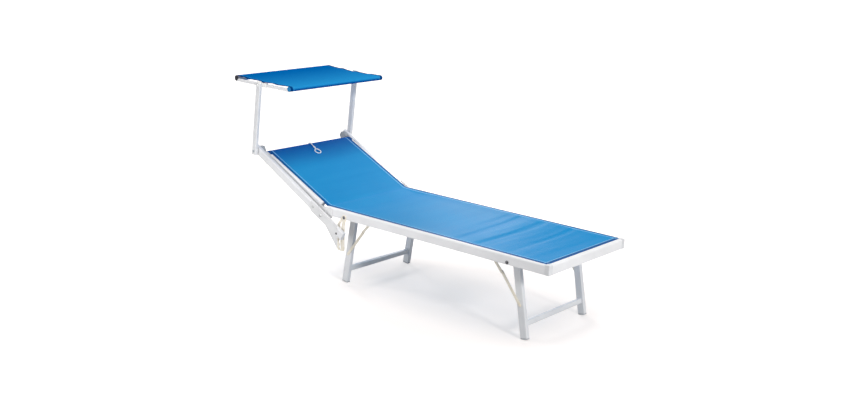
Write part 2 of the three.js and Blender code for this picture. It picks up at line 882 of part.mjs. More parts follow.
// Lever plate with its tail pin
function leverPlate() {
  const shares = [
    ...lever_inner_shares.slice().reverse(), ...lever_tip_shares.slice().reverse(),
    ...lever_corner_shares.slice().reverse(), ...lever_head_shares.slice().reverse(),
  ];
  const points = shares.map(([x, z]) => new THREE.Vector2(
    hinge_x + x * lever_reach, hinge_z + z * lever_drop));
  const plate = alongY(new THREE.Shape(points), lever_inner, lever_outer);
  const tail = turned(tail_pin_x, tail_pin_z, [
    [tail_pin_radius, seat_half_width + 2 * gap],
    [tail_pin_radius, lever_outer - gap],
    [tail_pin_dome_radius, lever_outer - gap],
    [tail_pin_dome_radius / 2, lever_outer + tail_pin_dome],
  ]);
  return cut(join([plate, tail]), [
    pin(hinge_x, hinge_z, screw_radius + gap, 0, cross_reach),
    pin(spacer_x, spacer_z, screw_radius + gap, 0, cross_reach),
  ]);
}

// Rivet with a collar between rail and arm
function spacerRivet() {
  const wall = seat_half_width - rail_wall;
  return turned(spacer_x, spacer_z, [
    [nut_radius, wall - spacer_inside],
    [nut_radius, wall - gap],
    [screw_radius, wall - gap],
    [screw_radius, seat_half_width + gap],
    [collar_radius, seat_half_width + gap],
    [collar_radius, arm_inner - gap],
    [screw_radius, arm_inner - gap],
    [screw_radius, lever_outer + gap],
    [screw_head_radius, lever_outer + gap],
    [screw_head_radius / 2, lever_outer + gap + screw_head / 2],
  ]);
}

// Way of the tail pin as the strap sees it while both turn
function lanePoints(steps) {
  const centre = stays.rear.pivot;
  const points = [];
  for (let i = 0; i <= steps; i += 1) {
    const recline = -recline_down_angle + (recline_down_angle + recline_up_angle) * i / steps;
    const spot = turnedSpot(tail_pin_x, tail_pin_z, hinge_x, hinge_z, recline);
    const seen = turnedSpot(spot.x, spot.y, centre.x, centre.y, -strap_ratio * recline);
    points.push(seen);
  }
  return points;
}

function turnedSpot(x, z, centre_x, centre_z, angle) {
  const turn = angle * degree;
  const dx = x - centre_x;
  const dz = z - centre_z;
  return new THREE.Vector2(
    centre_x + dx * Math.cos(turn) + dz * Math.sin(turn),
    centre_z - dx * Math.sin(turn) + dz * Math.cos(turn));
}

// Lane with notches on its head side
function laneOutline() {
  const steps = notch_count * 4;
  const way = lanePoints(steps);
  const half = tail_pin_radius + strap_play;
  const foot_edge = [];
  const head_edge = [];
  for (let i = 0; i <= steps; i += 1) {
    const before = way[Math.max(i - 1, 0)];
    const after = way[Math.min(i + 1, steps)];
    const step = after.clone().sub(before).normalize();
    const deep = i % 4 === 2 || i % 4 === 3 ? notch_depth : 0;
    foot_edge.push(new THREE.Vector2(way[i].x - step.y * half, way[i].y + step.x * half));
    head_edge.push(new THREE.Vector2(
      way[i].x + step.y * (half + deep), way[i].y - step.x * (half + deep)));
  }
  return [
    ...foot_edge,
    ...laneEnd(way[steps - 1], way[steps], half),
    ...head_edge.reverse(),
    ...laneEnd(way[1], way[0], half),
  ];
}

// Round end of the lane about its last point
function laneEnd(before, last, half) {
  const turn = Math.atan2(last.y - before.y, last.x - before.x) / degree;
  return arc(last.x, last.y, half, turn + 90, turn - 90, round_steps).slice(1, -1);
}

// Strap that hangs from the rear leg bolt, drawn round its lane
function notchedStrap() {
  const centre = stays.rear.pivot;
  const points = laneOutline();
  const head = Math.min(...points.map((point) => point.x)) - strap_head_edge;
  const foot = Math.max(...points.map((point) => point.x)) + strap_foot_edge;
  const bottom = Math.min(...points.map((point) => point.y)) - strap_end_edge;
  const shape = new THREE.Shape([
    ...arc(head + strap_corner, bottom + strap_corner, strap_corner, 180, 270, round_steps),
    ...arc(foot - strap_corner, bottom + strap_corner, strap_corner, -90, 0, round_steps),
    new THREE.Vector2(foot, centre.y - 3 * strap_eye_radius),
    ...arc(centre.x, centre.y, strap_eye_radius, -10, 150, circle_steps / 2),
    new THREE.Vector2(head, centre.y - 3 * strap_eye_radius),
  ]);
  const inner = seat_half_width + 2 * gap;
  const strap = alongY(shape, inner, inner + strap_thickness);
  const lane = alongY(new THREE.Shape(points), 0, cross_reach);
  return cut(strap, [lane, pin(centre.x, centre.y, screw_radius + gap, 0, cross_reach)]);
}

const post_outer = post_inner + post_width;

function post() {
  const middle = post_inner + post_width / 2;
  const outline = tubeOutline(post_pivot.x, middle, post_depth, post_width, post_round, post_wall);
  const tube = alongZ(outline, post_pivot.y - post_below, post_pivot.y + post_length);
  swung(tube, post_lean_angle, post_pivot.x, post_pivot.y);
  return cut(tube, [
    pin(post_pivot.x, post_pivot.y, screw_radius + gap, 0, cross_reach),
    pin(canopy_pivot.x, canopy_pivot.y, clamp_pin_radius + gap, 0, cross_reach),
  ]);
}

function postCap() {
  const middle = post_inner + post_width / 2;
  const base = post_pivot.y + post_length + gap;
  const fit = post_wall + gap;
  const lower = alongZ(tubeOutline(post_pivot.x, middle, post_depth, post_width, post_round, 0),
    base, base + post_cap / 2);
  const upper = alongZ(
    tubeOutline(post_pivot.x, middle, post_depth - post_cap / 2, post_width - post_cap / 2, post_round, 0),
    base, base + post_cap);
  const plug = alongZ(
    tubeOutline(post_pivot.x, middle, post_depth - 2 * fit, post_width - 2 * fit, post_round / 2, 0),
    base - post_cap_plug, base + gap);
  const room = pin(post_pivot.x, post_pivot.y + canopy_pivot_up, 2 * clamp_pin_radius, 0, cross_reach);
  return swung(cut(join([lower, upper, plug]), [room]), post_lean_angle, post_pivot.x, post_pivot.y);
}

// Knob with the bolt that runs through arm and post
function knob() {
  const points = [];
  const steps = knob_lobes * 6;
  for (let i = 0; i < steps; i += 1) {
    const turn = 2 * Math.PI * i / steps;
    const swell = (1 + Math.cos(turn * knob_lobes)) / 2;
    const radius = knob_waist + (knob_radius - knob_waist) * swell;
    points.push(new THREE.Vector2(
      post_pivot.x + radius * Math.cos(turn), post_pivot.y + radius * Math.sin(turn)));
  }
  const outer = arm_inner - gap;
  const grip = alongY(new THREE.Shape(points), outer - knob_thickness, outer - knob_edge);
  const bolt = turned(post_pivot.x, post_pivot.y, [
    [knob_waist - 2 * knob_edge, outer - knob_thickness - knob_edge],
    [knob_waist, outer - knob_thickness + knob_edge],
    [knob_waist, outer - knob_edge],
    [knob_waist - knob_edge, outer],
    [screw_radius, outer],
    [screw_radius, arm_outer + gap],
    [collar_radius, arm_outer + gap],
    [collar_radius, post_inner - gap],
    [screw_radius, post_inner - gap],
    [screw_radius, post_outer + gap],
    [nut_radius, post_outer + gap],
    [nut_radius / 2, post_outer + gap + screw_head],
  ]);
  return join([grip, bolt]);
}

// Side tube of the canopy, coped where it meets the cross tubes
function sideTubeOutline(extra) {
  const middle = side_tube_inner + side_tube_width / 2;
  return tubeOutline(middle, side_tube_rear_z,
    side_tube_width + 2 * extra, side_tube_height + 2 * extra, side_tube_round + extra,
    extra > 0 ? 0 : side_tube_wall);
}

function sideTubeSlope() {
  return Math.atan2(side_tube_rear_z - side_tube_front_z, front_tube_x - rear_tube_x) / degree;
}

function sideTube() {
  const tube = alongX(sideTubeOutline(0), rear_tube_x + side_tube_round, front_tube_x - side_tube_round);
  swung(tube, sideTubeSlope(), rear_tube_x, side_tube_rear_z);
  return cut(tube, [
    pin(rear_tube_x, rear_tube_z, rear_tube_radius + gap, 0, cross_reach),
    pin(front_tube_x, front_tube_z, front_tube_radius + gap, 0, cross_reach),
  ]);
}

// Room around the side tube in the sleeves of the cloth
function sideTubeRoom(side) {
  const room = alongX(sideTubeOutline(sleeve_notch), rear_tube_x, front_tube_x);
  swung(room, sideTubeSlope(), rear_tube_x, side_tube_rear_z);
  return side > 0 ? room : mirrored(room);
}

// Canopy cloth: sleeve round each cross tube and a panel with a slight sag between them
function canopyCloth() {
  const rear_bore = rear_tube_radius + gap;
  const front_bore = front_tube_radius + gap;
  const rear_meet = Math.asin((rear_cloth_radius - cloth_thickness) / rear_cloth_radius) / degree;
  const front_meet = 180 - Math.asin((front_cloth_radius - cloth_thickness) / front_cloth_radius) / degree;
  const panel = [];
  const steps = 8;
  for (let i = 1; i < steps; i += 1) {
    const share = i / steps;
    const x = rear_tube_x + (front_tube_x - rear_tube_x) * share;
    const from = rear_tube_z + rear_cloth_radius;
    const to = front_tube_z + front_cloth_radius;
    panel.push(new THREE.Vector2(x, from + (to - from) * share - 4 * canopy_sag * share * (1 - share)));
  }
  const below = panel.map((point) => new THREE.Vector2(point.x, point.y - cloth_thickness));
  const shape = new THREE.Shape([
    ...arc(rear_tube_x, rear_tube_z, rear_cloth_radius, 90, 360 + rear_meet, circle_steps),
    ...below,
    ...arc(front_tube_x, front_tube_z, front_cloth_radius, front_meet, 450, circle_steps),
    ...panel.reverse(),
  ]);
  shape.holes.push(new THREE.Path(arc(rear_tube_x, rear_tube_z, rear_bore, 360, 0, circle_steps).slice(1)));
  shape.holes.push(
    new THREE.Path(arc(front_tube_x, front_tube_z, front_bore, 360, 0, circle_steps).slice(1)));
  const cloth = alongY(shape, -canopy_half_width, canopy_half_width);
  return cut(cloth, [sideTubeRoom(1), sideTubeRoom(-1)]);
}

// Nylon clamp on the side tube with the pin that turns in the post
function canopyClamp() {
  const outer = post_inner - gap;
  const share = (canopy_pivot.x - rear_tube_x) / (front_tube_x - rear_tube_x);
  const height = side_tube_rear_z + (side_tube_front_z - side_tube_rear_z) * share;
  const shape = new THREE.Shape(roundedPoints(
    canopy_pivot.x + (clamp_foot - clamp_head) / 2, height,
    clamp_head + clamp_foot, clamp_height, clamp_round));
  const block = alongY(shape, outer - clamp_width, outer);
  const bore = alongX(sideTubeOutline(gap), rear_tube_x, front_tube_x);
  swung(bore, sideTubeSlope(), rear_tube_x, side_tube_rear_z);
  const stud = turned(canopy_pivot.x, canopy_pivot.y, [
    [clamp_pin_radius, outer - gap],
    [clamp_pin_radius, post_outer + gap],
    [nut_radius, post_outer + gap],
    [nut_radius / 2, post_outer + gap + screw_head],
  ]);
  return join([cut(block, [bore]), stud]);
}

// Way of the cord in flat backrest places: along, across, above the cloth
function cordSpot([along, across, above]) {
  const x = -back_length - along * cord_length;
  const z = seat_top + above * cord_length;
  return turnedSpot3(x, across * cord_length, z);
}

function turnedSpot3(x, y, z) {
  const spot = turnedSpot(x, z, 0, seat_top, back_angle);
  return new THREE.Vector3(spot.x, y, spot.y);
}

function cord() {
  const path = new THREE.CatmullRomCurve3(cord_shares.map(cordSpot));
  const section = new THREE.Shape(arc(0, 0, cord_radius, 0, 360, cord_sides).slice(1));
  return new THREE.ExtrudeGeometry(section, { steps: cord_steps, bevelEnabled: false, extrudePath: path });
}

// Metal crimp round the end of the cord and the neck of the ring
function crimp() {
  const section = new THREE.Shape(
    arc(ring_side, seat_top + ring_rise, crimp_radius, 0, 360, circle_steps).slice(1));
  section.holes.push(new THREE.Path(
    arc(ring_side, seat_top + ring_rise, cord_radius + 2 * gap, 360, 0, circle_steps).slice(1)));
  return raised(alongX(section, -crimp_head, -crimp_head + crimp_length));
}

// Pull ring with a short neck
function ring() {
  const hoop = new THREE.TorusGeometry(ring_radius, ring_thick, cord_sides, 2 * circle_steps);
  hoop.rotateY(ring_tilt_angle * degree);
  const rise = ring_thick + gap + ring_radius * Math.sin(ring_tilt_angle * degree);
  hoop.translate(-ring_centre, ring_side, seat_top + rise);
  const section = new THREE.Shape(
    arc(ring_side, seat_top + ring_rise, neck_radius, 0, 360, cord_sides).slice(1));
  const neck = alongX(section, -crimp_head + crimp_length - neck_grip, -ring_centre - ring_radius);
  return raised(join([hoop, neck]));
}

function buildSeat() {
  addPair('seat_rail', seatRail(), 'rail');
  add('foot_rail', footRail(), 'rail');
  addPair('foot_corner', cornerPiece(), 'grey_plastic');
  add('seat_cloth', seatCloth(), 'cloth');
  addPair('hinge_plate', hingePlate(), 'plate');
  addPair('hinge_bolt', hingeBolt(), 'bolt');
}

function buildLegs() {
  const strap_outer = seat_half_width + 2 * gap + strap_thickness;
  const rear_head = arm_inner - gap - strap_outer - gap;
  addPair('front_leg_bolt', legBolt(stays.front, seat_half_width + gap, screw_head), 'bolt');
  addPair('rear_leg_bolt', legBolt(stays.rear, strap_outer + gap, rear_head), 'bolt');
  for (const [name, plan] of Object.entries(stays)) {
    add(`${name}_leg_frame`, legFrame(plan), 'frame');
    addPair(`${name}_foot`, footPlug(plan), 'dark_plastic');
    addPair(`${name}_stay_lower`, lowerLink(plan), 'nylon');
    addPair(`${name}_stay_upper`, upperLink(plan), 'nylon');
  }
}

function buildBackrest() {
  addPair('back_rail', backRail(), 'rail');
  addPair('back_end_block', endBlock(), 'grey_plastic');
  add('head_bar', headBar(), 'frame');
  add('back_cloth', backCloth(), 'cloth');
  addPair('arm', arm(), 'frame');
  addPair('lever_plate', leverPlate(), 'plate');
  addPair('spacer_rivet', spacerRivet(), 'bolt');
  addPair('notched_strap', notchedStrap(), 'nylon');
  add('pull_cord', cord(), 'cord');
  add('cord_crimp', crimp(), 'bolt');
  add('pull_ring', ring(), 'white_plastic');
}

function buildCanopy() {
  addPair('post', post(), 'frame');
  addPair('post_cap', postCap(), 'white_plastic');
  addPair('post_knob', knob(), 'dark_plastic');
  const rear_bore = rear_tube_radius - canopy_tube_wall;
  const front_bore = front_tube_radius - canopy_tube_wall;
  const end = canopy_half_width;
  add('canopy_rear_tube',
    roundTube(rear_tube_x, rear_tube_z, rear_tube_radius, rear_bore, -end, end), 'dark_plastic');
  add('canopy_front_tube',
    roundTube(front_tube_x, front_tube_z, front_tube_radius, front_bore, -end, end), 'dark_plastic');
  addPair('canopy_side_tube', sideTube(), 'rail');
  addPair('canopy_clamp', canopyClamp(), 'nylon');
  add('canopy_cloth', canopyCloth(), 'canopy');
}

buildSeat();
buildLegs();
buildBackrest();
buildCanopy();

// Middle of the whole piece over the origin
const extent = new THREE.Box3().setFromObject(group);
const middle_x = (extent.min.x + extent.max.x) / 2;
for (const mesh of group.children) mesh.geometry.translate(-middle_x, 0, 0);

export default group;
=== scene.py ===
import bmesh
import bpy
import numpy as np
from mathutils import Matrix


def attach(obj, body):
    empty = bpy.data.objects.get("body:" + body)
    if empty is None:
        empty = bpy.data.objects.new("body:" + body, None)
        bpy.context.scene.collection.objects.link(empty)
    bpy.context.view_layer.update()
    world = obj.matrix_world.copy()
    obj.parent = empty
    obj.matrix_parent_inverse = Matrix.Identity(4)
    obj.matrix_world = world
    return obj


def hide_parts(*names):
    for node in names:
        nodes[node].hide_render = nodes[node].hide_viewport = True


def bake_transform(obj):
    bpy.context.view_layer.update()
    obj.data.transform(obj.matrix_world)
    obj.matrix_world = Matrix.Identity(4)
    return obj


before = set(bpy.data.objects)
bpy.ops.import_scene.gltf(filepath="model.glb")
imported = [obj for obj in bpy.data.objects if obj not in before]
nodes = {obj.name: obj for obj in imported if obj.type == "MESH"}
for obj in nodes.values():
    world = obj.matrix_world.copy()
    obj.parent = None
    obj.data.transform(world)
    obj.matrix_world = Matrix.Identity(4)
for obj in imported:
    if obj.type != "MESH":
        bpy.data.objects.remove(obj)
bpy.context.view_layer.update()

# Places in metres, counted from the bend of the cloth: the middle of the lounger's whole length, the top of
# the seat's rails, and the slope of the backrest
MIDDLE = 0.344564
SEAT_TOP = 0.3905
SLOPE = np.radians(25.1)

# Sling: half its width from groove to groove, the head bar's place along the backrest and below the top of
# its rails, radius and sweep of the cloth round that bar, rows of the mesh, thickness
GROOVE_HALF = 0.2855
BAR_ALONG = 0.4772
BAR_BELOW = 0.0150
BAR_WRAP = 0.0147
BAR_WRAP_DEGREES = 205
SLING_ROWS = 525
SLING_THICKNESS = 0.0014

# Canopy: its cross tubes in the side view, radii of the sleeve and of the end plug of each, half width and
# thickness of the cloth
REAR_TUBE = (-0.636, 0.952)
FRONT_TUBE = (-0.239, 0.9425)
REAR_SLEEVE = 0.0147
FRONT_SLEEVE = 0.0127
REAR_PLUG = 0.0148
FRONT_PLUG = 0.0126
CANOPY_HALF = 0.328
CANOPY_THICKNESS = 0.0013

# Line of cord, crimp and ring: aside of the middle, above the top of the backrest's rails, cord's radius
CORD_ASIDE = -0.004
CORD_ABOVE = 0.0053
CORD_RADIUS = 0.0025


# Camera

def set_pose(thing, right, up, back, place):
    """Puts a camera or a lamp at its place, with its own right and up, looking away from back."""
    pose = np.eye(4)
    pose[:3] = np.stack([right, up, back, place], -1)
    thing.matrix_world = Matrix(pose.tolist())
    bpy.context.collection.objects.link(thing)


def photo_camera():
    """Camera at the photograph's place. Its angles, its distances from the bend of the cloth along its own
    three directions, and its focal length come from a fit to the lounger in the photograph."""
    azimuth, elevation, roll = np.radians([40.576, 14.616, 1.807])
    aside, above, away = 0.31234494, 0.33111281, 5.88128677
    focal_pixels, picture_pixels, sensor = 1127.868, 854.0, 36.0
    flat = np.cos(elevation)
    back = np.array([np.sin(azimuth) * flat, -np.cos(azimuth) * flat, np.sin(elevation)])
    level = np.array([np.cos(azimuth), np.sin(azimuth), 0.0])
    upright = np.cross(back, level)
    right = level * np.cos(roll) + upright * np.sin(roll)
    up = -level * np.sin(roll) + upright * np.cos(roll)
    eye = aside * right + above * up + away * back
    eye[0] -= MIDDLE
    data = bpy.data.cameras.new("photo_camera")
    data.sensor_width = sensor
    data.lens = sensor * focal_pixels / picture_pixels
    camera = bpy.data.objects.new("photo_camera", data)
    set_pose(camera, right, up, back, eye)
    bpy.context.scene.camera = camera


# Surfaces

def lay(x, y, z):
    """Points counted from the bend of the cloth, brought to the lounger's middle."""
    x, y, z = np.broadcast_arrays(x, y, z)
    return np.stack([x - MIDDLE, y, z], -1)


def up_slope(along, across, above):
    """Points on the backrest: along it from the bend, across it, and above the top of its rails."""
    x = -along * np.cos(SLOPE) + above * np.sin(SLOPE)
    z = SEAT_TOP + along * np.sin(SLOPE) + above * np.cos(SLOPE)
    return lay(x, across, z)


def grid_mesh(name, points, material, uv=None, wrap_rows=False, wrap_columns=False):
    """Mesh of a grid of points, rows by columns: each cell of four neighbours is one face."""
    rows, columns = points.shape[:2]
    row = np.arange(rows if wrap_rows else rows - 1)
    column = np.arange(columns if wrap_columns else columns - 1)
    r, c = np.meshgrid(row, column, indexing="ij")
    below, beside = (r + 1) % rows, (c + 1) % columns
    faces = np.stack([r * columns + c, below * columns + c,
                      below * columns + beside, r * columns + beside], -1)
    mesh = bpy.data.meshes.new(name)
    mesh.from_pydata(points.reshape(-1, 3).tolist(), [], faces.reshape(-1, 4).tolist())
    mesh.polygons.foreach_set("use_smooth", [True] * len(mesh.polygons))
    if uv is not None:
        corners = np.empty(len(mesh.loops), dtype=np.int32)
        mesh.loops.foreach_get("vertex_index", corners)
        layer = mesh.uv_layers.new(name="cloth")
        layer.data.foreach_set("uv", uv.reshape(-1, 2)[corners].astype(np.float32).ravel())
    mesh.update()
    piece = bpy.data.objects.new(name, mesh)
    bpy.context.collection.objects.link(piece)
    piece.data.materials.append(material)
    return piece


def thicken(piece, thickness):
    """Gives a sheet its thickness, on the side away from its faces."""
    solid = piece.modifiers.new("thickness", "SOLIDIFY")
    solid.thickness = thickness
    solid.offset = -1.0
    solid.use_even_offset = False


def smooth_step(value, low, high):
    """0 below low, 1 above high, a smooth cubic between."""
    share = np.clip((value - low) / (high - low), 0.0, 1.0)
    return share * share * (3.0 - 2.0 * share)


def spline(points, per_part):
    """Smooth curve through points, per_part samples between neighbours: a cubic from each point to the next,
    whose slope at a point is half the step from the point before it to the one after."""
    points = np.asarray(points, dtype=float)
    padded = np.vstack([2 * points[0] - points[1], points, 2 * points[-1] - points[-2]])
    share = np.linspace(0.0, 1.0, per_part, endpoint=False)[:, None]
    parts = []
    for a, b, c, d in zip(padded[:-3], padded[1:-2], padded[2:-1], padded[3:]):
        parts.append(0.5 * (2 * b + (c - a) * share + (2 * a - 5 * b + 4 * c - d) * share ** 2
                            + (3 * b - a - 3 * c + d) * share ** 3))
    return np.vstack(parts + [points[-1:]])


def frames_along(path):
    """Two unit directions square to a path, carried along it without twist."""
    step = np.gradient(path, axis=0)
    step /= np.linalg.norm(step, axis=1, keepdims=True)
    aslant = [0.0, 1.0, 0.31]
    side = np.cross(step[0], aslant)
    side /= np.linalg.norm(side)
    sides = []
    for direction in step:
        side = side - direction * side.dot(direction)
        side /= np.linalg.norm(side)
        sides.append(side)
    sides = np.array(sides)
    return sides, np.cross(step, sides)


def tube_mesh(name, path, radius, around, material):
    """Round tube: circle of the given radius carried along a path, its ends drawn in to a point."""
    first, second = frames_along(path)
    turn = np.linspace(0.0, 2 * np.pi, around, endpoint=False)
    ring = first[:, None] * np.cos(turn)[None, :, None] + second[:, None] * np.sin(turn)[None, :, None]
    body = path[:, None] + radius * ring
    start = np.repeat(path[:1, None], around, axis=1)
    end = np.repeat(path[-1:, None], around, axis=1)
    points = np.concatenate([start, body, end])
    length = np.concatenate([[0.0], np.cumsum(np.linalg.norm(np.diff(path, axis=0), axis=1))])
    along = np.concatenate([[0.0], length, [length[-1]]])
    uv = np.stack(np.broadcast_arrays(along[:, None], turn[None, :] / (2 * np.pi)), -1)
    piece = grid_mesh(name, points, material, uv=uv, wrap_columns=True)
    merge_points(piece)
    return piece


def merge_points(piece):
    """Joins doubled points at poles and turns all faces outwards."""
    work = bmesh.new()
    work.from_mesh(piece.data)
    bmesh.ops.remove_doubles(work, verts=work.verts, dist=1e-6)
    bmesh.ops.recalc_face_normals(work, faces=work.faces)
    work.to_mesh(piece.data)
    work.free()
    piece.data.update()


def turned_mesh(name, centre, profile, around, material):
    """Turned piece about a cross axis: pairs of radius and place across, carried round a circle."""
    profile = np.asarray(profile, dtype=float)
    turn = np.linspace(0.0, 2 * np.pi, around, endpoint=False)
    x = centre[0] + profile[:, :1] * np.cos(turn)
    z = centre[1] + profile[:, :1] * np.sin(turn)
    points = lay(x, np.broadcast_to(profile[:, 1:], x.shape), z)
    piece = grid_mesh(name, points, material, wrap_columns=True)
    merge_points(piece)
    return piece


def joined(name, pieces):
    """Several meshes made one piece."""
    work = bmesh.new()
    for piece in pieces:
        work.from_mesh(piece.data)
    mesh = bpy.data.meshes.new(name)
    work.to_mesh(mesh)
    work.free()
    mesh.materials.append(pieces[0].data.materials[0])
    for piece in pieces:
        bpy.data.objects.remove(piece)
    whole = bpy.data.objects.new(name, mesh)
    bpy.context.collection.objects.link(whole)
    return whole


# Shader nodes

def shader(tree, kind, feeds=None, **options):
    """Adds one shader node; options are its own settings, feeds go to its sockets."""
    made = tree.nodes.new("ShaderNode" + kind)
    for name, value in options.items():
        setattr(made, name, value)
    for socket, value in (feeds or {}).items():
        if isinstance(value, bpy.types.NodeSocket):
            tree.links.new(value, made.inputs[socket])
        else:
            made.inputs[socket].default_value = value
    return made


def maths(tree, operation, *values):
    """One arithmetic step on sockets or numbers."""
    made = shader(tree, "Math", dict(enumerate(values)), operation=operation)
    return made.outputs[0]


def blank(name, **surface):
    """New material with one principled shader, its fixed numbers set on its own sockets."""
    material = bpy.data.materials.new(name)
    material.use_nodes = True
    tree = material.node_tree
    tree.nodes.clear()
    coat = shader(tree, "BsdfPrincipled", surface)
    output = shader(tree, "OutputMaterial")
    tree.links.new(coat.outputs[0], output.inputs["Surface"])
    return material, tree, coat


def linear(red, green, blue):
    """Colour given as a screen colour from 0 to 255."""
    colour = np.array([red, green, blue]) / 255.0
    low = colour / 12.92
    high = ((colour + 0.055) / 1.055) ** 2.4
    return tuple(float(v) for v in np.where(colour <= 0.04045, low, high)) + (1.0,)


def object_place(tree):
    """The point's place in the piece's own frame."""
    return shader(tree, "TexCoord").outputs["Object"]


def noise(tree, place, scale, detail, **more):
    """Cloudy pattern of a given scale and detail, from 0 to 1."""
    feeds = {"Vector": place, "Scale": scale, "Detail": detail, **more}
    return shader(tree, "TexNoise", feeds).outputs["Fac"]


def mixed(tree, share, first, second):
    """Colour that runs from the first to the second as share goes from 0 to 1."""
    made = shader(tree, "Mix", {"Factor": share, "A": first, "B": second}, data_type="RGBA")
    return next(o for o in made.outputs if o.type == "RGBA")


def tint(tree, share, dark, light, low=0.3, high=0.7):
    """Colour that runs from dark to light as share goes from low to high."""
    ramp = shader(tree, "ValToRGB", {"Fac": share})
    ramp.color_ramp.elements[0].position = low
    ramp.color_ramp.elements[0].color = dark
    ramp.color_ramp.elements[1].position = high
    ramp.color_ramp.elements[1].color = light
    return ramp.outputs["Color"]


def spread(tree, share, low, high):
    """Number that runs from low to high as share goes from 0 to 1."""
    return shader(tree, "MapRange", {"Value": share, "To Min": low, "To Max": high}).outputs[0]


def ranged(tree, value, start, end, most=1.0):
    """Number that runs from 0 to most as value goes from start to end."""
    feeds = {"Value": value, "From Min": start, "From Max": end, "To Max": most}
    return shader(tree, "MapRange", feeds).outputs[0]


def band(tree, value, centre, half):
    """1 within half of centre and 0 outside, with a soft edge."""
    away = maths(tree, "ABSOLUTE", maths(tree, "SUBTRACT", value, centre))
    return ranged(tree, away, 1.3 * half, 0.7 * half)


def soft_edges(tree, radius):
    """Direction of the surface with its sharp edges rounded."""
    return shader(tree, "Bevel", {"Radius": radius}, samples=4).outputs["Normal"]


def raise_surface(tree, coat, height, strength, distance, **over):
    """Bump of the given height, laid over the plain surface or over one with soft edges."""
    feeds = {"Height": height, "Strength": strength, "Distance": distance, **over}
    tree.links.new(shader(tree, "Bump", feeds).outputs[0], coat.inputs["Normal"])


# Finishes

DARK_PIN = (0.05, 0.052, 0.06, 1.0)


def coated_metal(name, colour, shade, roughness, metallic, edge_radius, pin_from=1.0):
    """Satin silver coat: fine orange peel, faint clouds of tone, and edges painted slightly brighter, a
    painted highlight. Further out than pin_from, only the dark heads of the pins are left."""
    edge_highlight_gain, full_edge_highlight = 1.12, 0.3
    cloud_scale, peel_scale = 9.0, 850.0
    material, tree, coat = blank(name, Metallic=metallic)
    place = object_place(tree)
    clouds = noise(tree, place, cloud_scale, 4.0)
    soft = soft_edges(tree, edge_radius)
    flat = shader(tree, "NewGeometry").outputs["True Normal"]
    same = shader(tree, "VectorMath", {0: soft, 1: flat}, operation="DOT_PRODUCT").outputs["Value"]
    # Painted highlight: the edges are made lighter where the rounded normal turns away from the flat one
    edge_highlight = ranged(tree, maths(tree, "SUBTRACT", 1.0, same), 0.0, full_edge_highlight)
    bright = tuple(min(1.0, edge_highlight_gain * v) for v in colour[:3]) + (1.0,)
    tone = mixed(tree, edge_highlight, tint(tree, clouds, shade, colour, 0.25, 0.6), bright)
    outward = maths(tree, "ABSOLUTE", shader(tree, "SeparateXYZ", {0: place}).outputs[1])
    tone = mixed(tree, maths(tree, "GREATER_THAN", outward, pin_from), tone, DARK_PIN)
    tree.links.new(tone, coat.inputs["Base Color"])
    tree.links.new(spread(tree, clouds, roughness - 0.06, roughness + 0.08), coat.inputs["Roughness"])
    raise_surface(tree, coat, noise(tree, place, peel_scale, 2.0), 0.12, 0.0002, Normal=soft)
    return material


def moulded(name, colour, shade, roughness, grain):
    """Moulded plastic: fine spark grain and a faint mottling of tone and gloss."""
    material, tree, coat = blank(name, **{"Specular IOR Level": 0.4})
    place = object_place(tree)
    clouds = noise(tree, place, 26.0, 3.0)
    tree.links.new(tint(tree, clouds, shade, colour), coat.inputs["Base Color"])
    tree.links.new(spread(tree, clouds, roughness - 0.07, roughness + 0.09), coat.inputs["Roughness"])
    soft = soft_edges(tree, 0.0009)
    raise_surface(tree, coat, noise(tree, place, grain, 3.0), 0.2, 0.0003, Normal=soft)
    return material


def plated(name, colour, shade):
    """Zinc plated steel: blotches of dull and bright plating."""
    material, tree, coat = blank(name, Metallic=0.9)
    blotch = noise(tree, object_place(tree), 190.0, 4.0)
    tree.links.new(tint(tree, blotch, shade, colour), coat.inputs["Base Color"])
    tree.links.new(spread(tree, blotch, 0.28, 0.52), coat.inputs["Roughness"])
    raise_surface(tree, coat, blotch, 0.15, 0.0002, Normal=soft_edges(tree, 0.0006))
    return material


def thread_height(tree, along, across, pitch):
    """Height of the weave from 0 to 1: a wave across the cloth times a slightly longer wave along it."""
    warp = maths(tree, "SINE", maths(tree, "MULTIPLY", across, 2 * np.pi / pitch))
    weft = maths(tree, "SINE", maths(tree, "MULTIPLY", along, 2 * np.pi / (1.25 * pitch)))
    return maths(tree, "MULTIPLY_ADD", maths(tree, "MULTIPLY", warp, weft), 0.5, 0.5)


def worn_share(tree, place, clouds):
    """How far the cloth has faded, up to a half: clouds, fine flecks and streaks drawn out across it."""
    flecks = noise(tree, place, 420.0, 2.0)
    drawn = shader(tree, "VectorMath", {0: place, 1: (30.0, 1.6, 30.0)}, operation="MULTIPLY")
    streaks = noise(tree, drawn.outputs["Vector"], 1.0, 3.0)
    share = maths(tree, "MULTIPLY_ADD", flecks, 0.2, maths(tree, "MULTIPLY", clouds, 0.45))
    return ranged(tree, maths(tree, "MULTIPLY_ADD", streaks, 0.35, share), 0.62, 0.36, 0.5)


def sewn_line(tree, along, across, seam):
    """Stitches of a seam: the seam, broken where a fine wave over the cloth is at its lowest."""
    stitch, lowest = 0.0045, -0.8
    wave = maths(tree, "MULTIPLY", maths(tree, "ADD", along, across), 2 * np.pi / stitch)
    dashes = maths(tree, "GREATER_THAN", maths(tree, "SINE", wave), lowest)
    return maths(tree, "MULTIPLY", seam, dashes)


